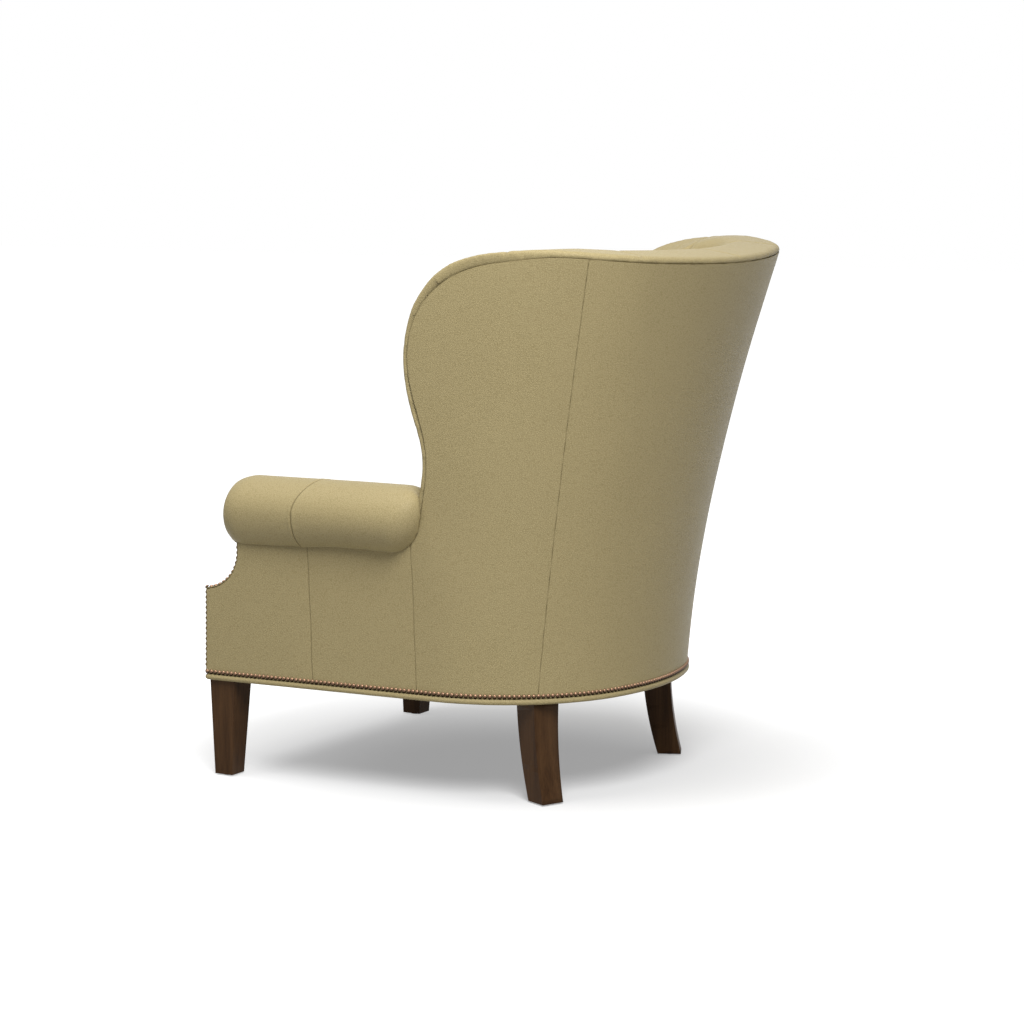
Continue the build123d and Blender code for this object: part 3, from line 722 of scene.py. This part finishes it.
for j, (y, z) in enumerate(along(border_line, vs)):
    grid[:, j] = [((u - 0.5) * border_width, y, z) for u in us]
border = leather_panel("front_border_leather", grid, (0, -1, 0), ("start", "end", "bottom"))
fit(border, "front_border", "front_border_wadding")


# Base welt: a thick cord in a strip of the leather, sewn on all round the bottom edge,
# just under the nails.
cord_step = 0.006


def ring(shape, front, rounding):
    """Closed line round an outline and across its front, with eased front corners."""
    length = shape.length_to(front)
    marks = np.linspace(rounding - length, length - rounding, int(2 * length / cord_step))
    line = [shape.walk(mark)[0] for mark in marks]
    first, corner = line[-1], shape.walk(length)[0]
    last = Vector((corner.x - rounding, front))
    bend = []
    for t in (0.2, 0.4, 0.6, 0.8):
        bend.append(first * (1 - t) ** 2 + corner * 2 * t * (1 - t) + last * t * t)
    across = [Vector((x, front)) for x in np.linspace(last.x, -last.x, int(2 * last.x / cord_step))]
    return line + bend + across + [Vector((-point.x, point.y)) for point in reversed(bend)]


def welt(name, line, z, radius):
    """Round leather-covered cord along a closed level line, drawn in unevenly by its stitches."""
    data = bpy.data.curves.new(name, "CURVE")
    data.dimensions = "3D"
    data.bevel_depth = radius
    data.bevel_resolution = 4
    path = data.splines.new("POLY")
    path.points.add(len(line) - 1)
    for point, place in zip(path.points, line):
        point.co = (place.x, place.y, z, 1)
        point.radius = 0.985 + 0.03 * noise.noise(Vector((place.x, place.y, z)) * 80)
    path.use_cyclic_u = True
    cord = new_object(name, data)
    choose(cord)
    bpy.ops.object.convert(target="MESH")
    finish_in(leather.material, bpy.context.object)
    return bpy.context.object


welt_z, welt_radius, welt_inset = 0.206, 0.006, 0.0015
base_line = ring(barrel(welt_z, welt_inset), front_face + welt_inset, 0.0075)
base_cord = welt("base_edge_welt", base_line, welt_z, welt_radius)
fit(base_cord, "base_welt")


# Inside back: a deep pad of foam and wadding under leather, which rolls over the wings and the top
# to the outside seam, with buttons drawn through it and pleats folded from button to button.
def soft_copy(name, node, voxel, smoothing):
    """New piece with the form of a CAD solid, in an even mesh with eased edges."""
    piece = copy_of(node, name)
    change(piece, "even_mesh", "REMESH", mode="VOXEL", voxel_size=voxel)
    change(piece, "eased", "SMOOTH", factor=0.5, iterations=smoothing)
    return piece


def refine(piece, chosen, cuts):
    """Divides the mesh between the chosen points."""
    open_at(piece, "VERT", chosen)
    bpy.ops.mesh.subdivide(number_cuts=cuts)
    bpy.ops.mesh.select_all(action="DESELECT")
    bpy.ops.object.mode_set(mode="OBJECT")


def normals_of(piece):
    flat = np.empty(len(piece.data.vertices) * 3, np.float32)
    piece.data.vertex_normals.foreach_get("vector", flat)
    return flat.reshape(-1, 3).astype(float)


def set_painted_shade(piece, values):
    """Marks painted shade at each point where the leather is drawn in, for its colour."""
    found = piece.data.attributes.new("painted_crease_shade", "FLOAT", "POINT")
    found.data.foreach_set("value", np.clip(values, 0, 1).astype(np.float32))


def dress(piece):
    """Covers a filled piece in the leather."""
    choose(piece)
    finish_in(leather.material, piece)


def bell(gap, width):
    """One at a gap of nought, and less the further off, over a width."""
    return np.exp(-((gap / width) ** 2))


def segment_gap(points, start, end):
    """Distance of flat points from a straight line between two points."""
    line = np.array(end, float) - start
    share = np.clip(((points - start) @ line) / (line @ line), 0, 1)
    return np.linalg.norm(points - start - share[:, None] * line, axis=1)


def hollow(z):
    """Outline of the space the sitter leans into at height z."""
    rise = (z - 0.391) / 0.674
    return Outline(0.29 + 0.072 * rise, 0.02, 0.123 + 0.263 * rise, 0.62 + 0.14 * rise, 0.175)


back_pad = soft_copy("inside_back", "inside_back_pad", 0.005, 6)
button_pitch, row_pitch = 0.205, 0.14
top_row, middle_row, low_row = 0.925, 0.785, 0.645
over_top, under_seat = 1.09, 0.36
buttons = []
for z, count in ((top_row, 5), (middle_row, 4), (low_row, 3)):
    buttons += [((k - (count - 1) / 2) * button_pitch, z) for k in range(count)]
pleats = []
for a in buttons:
    for b in buttons:
        if abs(a[1] - b[1] - row_pitch) < 0.01 and abs(a[0] - b[0]) < 0.11:
            pleats.append((a, b))
for side in (-1, 1):
    second, outermost, between = side * 0.205, side * 0.41, side * 0.3075
    pleats += [((second, top_row), (side * 0.262, over_top))]
    pleats += [((outermost, top_row), end) for end in ((side * 0.432, over_top), (side * 0.7, 0.88))]
    pleats += [((between, middle_row), (side * 0.65, 0.735))]
    pleats += [((second, low_row), end) for end in ((side * 0.215, under_seat), (side * 0.6, 0.6))]
pleats += [((0, top_row), (0, over_top)), ((0, low_row), (0, under_seat))]
edge = wing_edge(0)
top_edge = edge[np.argmax(edge[:, 0] > 0.05) :]


def unrolled(spots):
    """Each point's distance along the hollow, its height, and how far behind the hollow it lies."""
    shapes, flat, behind = {}, np.empty((len(spots), 2)), np.empty(len(spots))
    for index, (x, y, z) in enumerate(spots):
        level = round(z, 3)
        if level not in shapes:
            shapes[level] = hollow(level)
        shape, side = shapes[level], abs(x)
        if y <= shape.side_end.y and side > shape.corner_centre.x:
            distance = shape.round_length + (shape.side_end.y - y)
            behind[index] = side - shape.side_x(y)
        else:
            turn = math.atan2(side - shape.corner_centre.x, y - shape.corner_centre.y)
            if turn > shape.rear_turn:
                distance = shape.rear_length + (turn - shape.rear_turn) * shape.corner_radius
                reach = math.hypot(side - shape.corner_centre.x, y - shape.corner_centre.y)
                behind[index] = reach - shape.corner_radius
            else:
                distance = math.atan2(side, y - shape.rear_centre.y) * shape.rear_radius
                behind[index] = math.hypot(side, y - shape.rear_centre.y) - shape.rear_radius
        flat[index] = math.copysign(distance, x), z
    return flat, behind


def gaps_to(flat):
    """Each point's distance from the nearest pleat and from the nearest button."""
    to_pleats = [segment_gap(flat, np.array(a), np.array(b)) for a, b in pleats]
    to_buttons = [np.linalg.norm(flat - np.array(b), axis=1) for b in buttons]
    return np.min(to_pleats, axis=0), np.min(to_buttons, axis=0)


# a closer mesh along the pleats and over the shoulders' rolled edge
spots = points_of(back_pad)
flat, behind = unrolled(spots)
rim = np.min(np.linalg.norm(spots[:, None, 1:] - edge[None], axis=2), axis=1)
close = (gaps_to(flat)[0] < 0.011) & (behind < 0.125)
close |= (behind > 0.055) & (rim < 0.026) & (spots[:, 2] > 0.75) & (spots[:, 1] < 0.3)
refine(back_pad, close, 1)

# fullness between the buttons, and folds drawn in along the pleats
spots, out = points_of(back_pad), normals_of(back_pad)
y, z = spots[:, 1], spots[:, 2]
flat, behind = unrolled(spots)
pleat_gap, button_gap = gaps_to(flat)
top = np.interp(y, top_edge[:, 0], top_edge[:, 1])
facing_in, fullness, fold_depth, lip_fold = 0.035, 0.006, 0.006, 0.0016
inner = np.clip(1 - behind / facing_in, 0, 1)
lip = np.clip(behind / facing_in, 0, 1) * ease(out[:, 2], 0.2, 0.7) * ease(y, 0.1, 0.16)
stuffed = np.clip((z - 0.42) / 0.08, 0, 1)
full = fullness * (1 - bell(pleat_gap, 0.032)) * (1 - bell(button_gap, 0.05))
full *= np.clip((top - z - 0.01) / 0.06, 0, 1)
fold = fold_depth * bell(pleat_gap, 0.0055) + 0.0025 * np.exp(-pleat_gap / 0.014)
draw = (full - fold) * inner * stuffed - lip_fold * bell(pleat_gap, 0.0035) * lip
shaped = spots + out * draw[:, None]

# the rolled edge: its height from the shoulder to the rear, the wing's front, and its inner fall
depths = (0.0, 0.065, 0.1, 0.145, 0.2, 0.25, 0.32)
drops = (0.0, -0.0067, -0.005, 0.0005, 0.004, 0.0045, 0.0)
flatter = np.interp(y, depths, drops) * np.where(y < 0.17, ease(behind, 0.04, 0.065), 1)
shaped[:, 2] -= flatter * np.clip((z - top + 0.03) / 0.03, 0, 1)
forward = 0.0045 * bell(z - 0.77, 0.07) * (1 - ease(y, 0.0, 0.06))
forward += 0.003 * bell(z - 0.985, 0.035) * (1 - ease(y, 0.03, 0.09))
shaped[:, 1] -= forward * ease(behind, 0.01, 0.04)
inner_fall = 0.03
fall = inner_fall * bell(y - 0.13, 0.09) * np.clip((0.085 - behind) / 0.06, 0, 1)
shaped[:, 2] -= fall * np.clip((z - top + 0.07) / 0.06, 0, 1)

# its outer side, broader over the shoulder and tucked in under the outside panels
more, inward = broader(edge)
outside = np.flatnonzero((behind > 0.05) & (z > 0.54))
apart = np.linalg.norm(spots[outside, None, 1:] - edge[None], axis=2)
nearest, depth = np.argmin(apart, axis=1), np.min(apart, axis=1)
lower = more[nearest] * ease(depth, 0.002, 0.012) * ease(behind[outside], 0.05, 0.075)
shaped[outside, 1:] += inward[nearest] * lower[:, None]
tuck_depth, side_lean = 0.0021, 0.074
tuck = tuck_depth * ease(depth, 0.005, 0.013) * (1 - ease(y[outside], 0.24, 0.32))
shaped[outside, 0] += np.sign(spots[outside, 0]) * (side_lean * inward[nearest, 1] * lower - tuck)
set_points(back_pad, shaped)
# painted shade: darker along the pleats on the inside, faintly along the pleats over the lip, and
# round the buttons
dark = bell(pleat_gap, 0.0035) * 0.7 * inner * stuffed + bell(pleat_gap, 0.002) * 0.25 * lip
set_painted_shade(back_pad, dark + bell(button_gap, 0.013) * inner)
change(back_pad, "lighter_mesh", "DECIMATE", ratio=0.55)
dress(back_pad)
fit(back_pad, "inside_back_pad")


# Buttons: domed moulds covered in the same leather,
# pulled down into the pad with twine.
def at_place(name, model, places):
    """One mesh of copies of a modelled head, each set at a point and facing the given way."""
    form = points_of(model)
    faces = [list(face.vertices) for face in model.data.polygons]
    spots, sides = [], []
    for place, out in places:
        turn = np.array(Vector(out).to_track_quat("Z", "Y").to_matrix())
        sides += [[corner + len(spots) * len(form) for corner in face] for face in faces]
        spots.append(form @ turn.T + np.array(place))
    mesh = bpy.data.meshes.new(name)
    mesh.from_pydata(np.concatenate(spots).tolist(), [], sides)
    piece = new_object(name, mesh)
    bpy.data.objects.remove(model)
    choose(piece)
    bpy.ops.object.shade_smooth_by_angle(angle=math.radians(50))
    bpy.ops.object.select_all(action="DESELECT")
    return piece


def dome(radius, rise, sides, rings):
    """Closed cap with a flat underside at Z = 0."""
    bpy.ops.mesh.primitive_uv_sphere_add(segments=sides, ring_count=rings, radius=radius)
    bpy.ops.object.mode_set(mode="EDIT")
    bpy.ops.mesh.select_all(action="SELECT")
    bpy.ops.mesh.bisect(plane_co=(0, 0, 0), plane_no=(0, 0, 1), clear_inner=True, use_fill=True)
    bpy.ops.mesh.select_all(action="SELECT")
    bpy.ops.transform.resize(value=(1, 1, rise / radius), center_override=(0, 0, 0))
    bpy.ops.object.mode_set(mode="OBJECT")
    return bpy.context.object


button_radius, button_rise, button_sink = 0.0118, 0.0055, 0.0095
button = dome(button_radius, button_rise, 28, 12)
open_at(button, "FACE", [face.normal.z < -0.9 for face in button.data.polygons])
bpy.ops.mesh.extrude_region_move(TRANSFORM_OT_translate={"value": (0, 0, -0.003)})
bpy.ops.transform.resize(value=(0.9, 0.9, 1), center_override=(0, 0, 0))
bpy.ops.object.mode_set(mode="OBJECT")
seats = []
for distance, z in buttons:
    place, out = hollow(z).walk(distance)
    place = place + out * button_sink
    seats.append(((place.x, place.y, z), (-out.x, -out.y, 0)))
tufts = at_place("covered_buttons", button, seats)
tufts.data.materials.append(leather.material)
fit(tufts, "tuft_buttons")


# Arms: foam over a board, with leather rolled over the top and round both ends,
# and one cross seam a hand's breadth behind the front.
roll_half_width, roll_half_height = 0.078, 0.068
cross_seam_y, cap_front_y, cap_depth = -0.258, -0.442, 0.055


def roll_seam_gap(spots):
    """Distance along the arm from its cross seam, which leans back over the top of the roll."""
    above = np.maximum(spots[:, 2] - roll_z, 0)
    rise = np.where(np.abs(spots[:, 0]) > roll_x, above, roll_half_height)
    return np.abs(spots[:, 1] - cross_seam_y - 5.6 * rise * rise)


def arm_pad(name, node, side):
    """A roll arm: narrower and deeper to the front, blunt at the front, leaning at the rear."""
    pad = soft_copy(name, node, 0.004, 8)
    refine(pad, roll_seam_gap(points_of(pad)) < 0.01, 3)
    spots = points_of(pad)
    x, y, z = spots[:, 0] * side, spots[:, 1], spots[:, 2]
    gap = roll_seam_gap(spots)
    sunk = 0.0013 * bell(gap, 0.001) - 0.0006 * bell(gap - 0.005, 0.003)
    uneven = np.array([noise.noise(Vector(spot) * 70) for spot in spots])
    sunk += 0.0006 * uneven * np.exp(-gap / 0.012)
    fore = 1 - ease(y, -0.4, -0.12)
    inner = np.where(x < roll_x, fore * ease(z, 0.47, 0.54), 0)
    across = (x - roll_x) * (1 - roll_narrowing * inner)
    outer = ease(x, 0.31, 0.385)
    up = (z - roll_z) * np.where(z < roll_z, 1 + 0.235 * fore * outer, 1 - 0.015 * fore)
    reach = np.hypot(across / roll_half_width, up / roll_half_height)
    blunt = (1 - ease(y, -0.43, -0.385)) * ease(z, 0.46, 0.49)
    blunt *= 0.15 + 0.85 * ease(x, 0.33, 0.4)
    wider = 1 + blunt * (np.maximum(reach, 0.05) ** -0.45 - 1) * (reach < 1)
    cap = np.clip((y - cap_front_y) / cap_depth, 0, 1)
    y = y + cap_depth * (cap ** 1.6 - cap) * ease(x, 0.33, 0.4) * ease(z, 0.46, 0.49)
    lean = 0.32 * up * ease(y, -0.12, 0.0) * ease(x, 0.37, 0.41)
    lean += (0.0125 + 0.11 * up) * (1 - ease(y, -0.44, -0.33)) * ease(z, 0.46, 0.49)
    shaped = np.stack([(roll_x + across * wider) * side, y + lean, roll_z + up * wider], axis=1)
    set_points(pad, shaped - normals_of(pad) * sunk[:, None])
    # painted shade along the cross seam
    set_painted_shade(pad, bell(gap, 0.0012))
    dress(pad)
    fit(pad, node)


for name, side in (("left_arm", 1), ("right_arm", -1)):
    arm_pad(name, name + "_pad", side)


# Seat deck: a thin pad under black lining cloth, which the loose cushion lies on.
# Its front edge, which shows under the cushion, is covered in the leather.
deck = soft_copy("seat_deck", "deck_pad", 0.006, 4)
spots = points_of(deck)
ends = ease(np.abs(spots[:, 0]), 0.24, 0.28) * (1 - ease(spots[:, 1], -0.42, -0.36))
spots[:, 0] += np.sign(spots[:, 0]) * 0.006 * ends
set_points(deck, spots)
dress(deck)
deck.data.materials.append(lining)
for face in deck.data.polygons:
    face.material_index = int(face.center.y > -0.4)
fit(deck, "deck_pad", slot="lining")


# Seat cushion: a loose box cushion of feather round a foam core,
# in a leather cover with welts sewn into its edges.
def outer_shell(piece):
    """Drops all but the largest connected part of a mesh."""
    heights = points_of(piece)[:, 2]
    open_at(piece, "VERT", heights == heights.max())
    bpy.ops.mesh.select_linked()
    bpy.ops.mesh.select_all(action="INVERT")
    bpy.ops.mesh.delete(type="VERT")
    bpy.ops.object.mode_set(mode="OBJECT")


def swell(piece, held, pressure, slack, most):
    """Blows a closed cover up as its filling does, held at its seams, by no more than most."""
    start = points_of(piece)
    group = piece.vertex_groups.new(name="seams")
    group.add(np.flatnonzero(held).tolist(), 1.0, "REPLACE")
    cover = piece.modifiers.new("cover", "CLOTH")
    cover.settings.use_pressure = True
    cover.settings.uniform_pressure_force = pressure
    cover.settings.shrink_min = -slack
    cover.settings.effector_weights.gravity = 0
    cover.settings.vertex_group_mass = group.name
    frames = 20
    cover.point_cache.frame_start = 1
    cover.point_cache.frame_end = frames
    for number in range(1, frames + 1):
        scene.frame_set(number)
    bpy.ops.object.modifier_apply(modifier=cover.name)
    moved = points_of(piece) - start
    reach = np.linalg.norm(moved, axis=1, keepdims=True)
    set_points(piece, start + moved * np.minimum(1, most / np.maximum(reach, 1e-9)))
    piece.vertex_groups.clear()
    scene.frame_set(1)


cushion = soft_copy("seat_cushion", "cushion_cover", 0.006, 4)
outer_shell(cushion)
seam_heights = (0.3983, 0.4863)
spots = points_of(cushion)
seam_gap = np.min([np.abs(spots[:, 2] - z) for z in seam_heights], axis=0)
outer = Outline(half=0.277, taper=0.02, rear=0.11, rear_radius=0.607, corner_radius=0.162)
at_edge = np.array([abs(x) > outer.side_x(y) or y < -0.484 for x, y, z in spots])
swell(cushion, (seam_gap < 0.004) & at_edge, pressure=4.0, slack=0.012, most=0.006)
dress(cushion)
fit(cushion, "cushion_cover", "cushion_core", body="seat_cushion")

# its welts, sewn in along the top and bottom edges
cushion_front, cushion_welt_radius = -0.492, 0.0045
seamed = Outline(half=0.283, taper=0.02, rear=0.116, rear_radius=0.613, corner_radius=0.168)
cord_line = ring(seamed, cushion_front, 0.014)
edges = [welt("cushion_welt", cord_line, z, cushion_welt_radius) for z in seam_heights]
for cord in edges:
    cord.select_set(True)
bpy.context.view_layer.objects.active = edges[0]
bpy.ops.object.join()
bpy.ops.object.select_all(action="DESELECT")
edges[0].name = edges[0].data.name = "cushion_edge_welts"
fit(edges[0], "cushion_welts", body="seat_cushion")


# Nails: small domed upholstery nails of antiqued bronze, driven head to head through the leather
# round the base and up the outer edge of each arm front.
bronze = Finish("antique_bronze", {"Metallic": 1.0, "Roughness": 0.38})
tarnish = bronze.noise(bronze.place(), 260, 3.0)
# painted shade and light: each head is painted dark on its lower side and pale on top by the way its
# surface faces, with random tarnish mixed in
facing = bronze.node("ShaderNodeNewGeometry", {}, {}, "Normal")
upward = bronze.node("ShaderNodeSeparateXYZ", {}, {0: facing}, 2)
tarnish_and_painted_shade = 0.3 + upward * 0.7 + (tarnish - 0.5) * 0.5
bronze.feed("Base Color", bronze.shade(tarnish_and_painted_shade, (0.02, 0.011, 0.006), (0.36, 0.22, 0.14)))
bronze.feed("Roughness", 0.34 + tarnish * 0.2)
nail_z, nail_radius, nail_rise, nail_seat = 0.2171, 0.0046, 0.0032, 0.0008
base_pitch, arm_pitch = 0.0095, 0.0105


def nail_row(name, node, places):
    row = at_place(name, dome(nail_radius, nail_rise, 10, 8), places)
    row.data.materials.append(bronze.material)
    fit(row, node, slot="nail_metal")


shape = barrel(nail_z)
reach = shape.length_to(front_face) - 0.0045
places = []
for distance in np.linspace(-reach, reach, int(2 * reach / base_pitch) + 1):
    point, out = shape.walk(distance)
    point = point + out * nail_seat
    places.append(((point.x, point.y, nail_z), (out.x, out.y, 0.0)))
nail_row("base_nails", "base_nail_trim", places)
places = [((x, front_face - nail_seat, nail_z), (0, -1, 0)) for x in np.linspace(-0.395, 0.395, 84)]
nail_row("front_nails", "front_nail_trim", places)
nail_line = arm_front_line(-nail_seat)
nail_line = nail_line[nail_line[:, 1] < 0.483]
nail_line = np.vstack([nail_line, [(nail_line[-1, 0], 0.483)]])
length = np.sum(np.linalg.norm(np.diff(nail_line, axis=0), axis=1))
first, last = 0.0185, length - 0.005
steps = np.linspace(first, last, int((length - 0.0235) / arm_pitch) + 1) / length
line_points = along(nail_line, steps)
slopes = np.gradient(line_points, axis=0)
for side, name in ((1, "left"), (-1, "right")):
    places = []
    for (y, z), (run, rise) in zip(line_points, slopes):
        places.append(((side * (barrel(z).side_x(y) - 0.0052), y, z), (0, -rise, run)))
    nail_row(name + "_arm_nails", name + "_arm_nail_trim", places)


# Studio: a plain pale floor with a white background, soft light from above and over the camera,
# and the camera where the photo was taken from.
bpy.ops.mesh.primitive_plane_add(size=40, location=(0, 0, 0))
floor = bpy.context.object
floor.name = "floor"


def looked_at(nodes, links):
    """One for rays that show the background, straight or in a reflection, and nought for light."""
    rays = nodes.new("ShaderNodeLightPath")
    sight = rays.outputs["Is Camera Ray"]
    for kind in ("Is Glossy Ray", "Is Transmission Ray"):
        larger = nodes.new("ShaderNodeMath")
        larger.operation = "MAXIMUM"
        links.new(sight, larger.inputs[0])
        links.new(rays.outputs[kind], larger.inputs[1])
        sight = larger.outputs[0]
    return sight


dull_grey = {"Base Color": (0.5, 0.5, 0.5, 1), "Roughness": 1.0, "Specular IOR Level": 0.0}
paper = Finish("white_paper", dull_grey)
plain = Value(paper, paper.shader.outputs[0])
away = paper.node("ShaderNodeTexCoord", output="Object")
away = paper.node("ShaderNodeVectorMath", {"operation": "LENGTH"}, {0: away}, "Value")
inputs = {0: away, 1: 0.22, 2: 1.35, 3: 0.32, 4: 1.0}
fade = paper.node("ShaderNodeMapRange", {"interpolation_type": "SMOOTHSTEP"}, inputs)
glow = paper.node("ShaderNodeEmission", {}, {"Strength": fade})
both = paper.node("ShaderNodeAddShader", {}, {0: plain, 1: glow})
sight = Value(paper, looked_at(paper.tree.nodes, paper.tree.links))
seen = paper.node("ShaderNodeMixShader", {}, {0: sight, 1: plain, 2: both})
paper.tree.links.new(seen.socket, paper.tree.nodes["Material Output"].inputs[0])
floor.data.materials.append(paper.material)
floor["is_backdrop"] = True

world = bpy.data.worlds.new("studio")
world.use_nodes = True
scene.world = world
nodes, links = world.node_tree.nodes, world.node_tree.links
sky = nodes["Background"]
sky.inputs["Color"].default_value = (1, 1, 1, 1)
level = nodes.new("ShaderNodeMapRange")
links.new(looked_at(nodes, links), level.inputs[0])
level.inputs[3].default_value = 0.22
level.inputs[4].default_value = 1.0
links.new(level.outputs[0], sky.inputs["Strength"])


def lamp(name, place, target, size, power):
    data = bpy.data.lights.new(name, "AREA")
    data.shape = "DISK"
    data.size = size
    data.energy = power
    made = new_object(name, data)
    made.location = place
    made.rotation_euler = (Vector(target) - Vector(place)).to_track_quat("-Z", "Y").to_euler()


lamp("overhead", (0.9, -0.8, 3.4), (0, 0, 0.5), 2.2, 64)
lamp("over_the_camera", (2.3, 1.7, 3.3), (0, 0, 0.6), 2.0, 182)
lamp("low_fill", (-1.6, 4.0, 1.8), (0, 0, 0.6), 2.0, 3)

azimuth, elevation = math.radians(119.96), math.radians(7.52)
flat = math.cos(elevation)
backward = Vector((math.sin(azimuth) * flat, -math.cos(azimuth) * flat, math.sin(elevation)))
data = bpy.data.cameras.new("photo_camera")
focal_pixels, photo_pixels = 2929.96, 1024
data.sensor_width = 36
data.lens = 36 * focal_pixels / photo_pixels
camera = new_object("photo_camera", data)
camera.location = (5.1685, 2.9679, 1.317)
camera.rotation_euler = (-backward).to_track_quat("-Z", "Y").to_euler()
scene.camera = camera
scene.view_settings.view_transform = "Standard"

low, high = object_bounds()
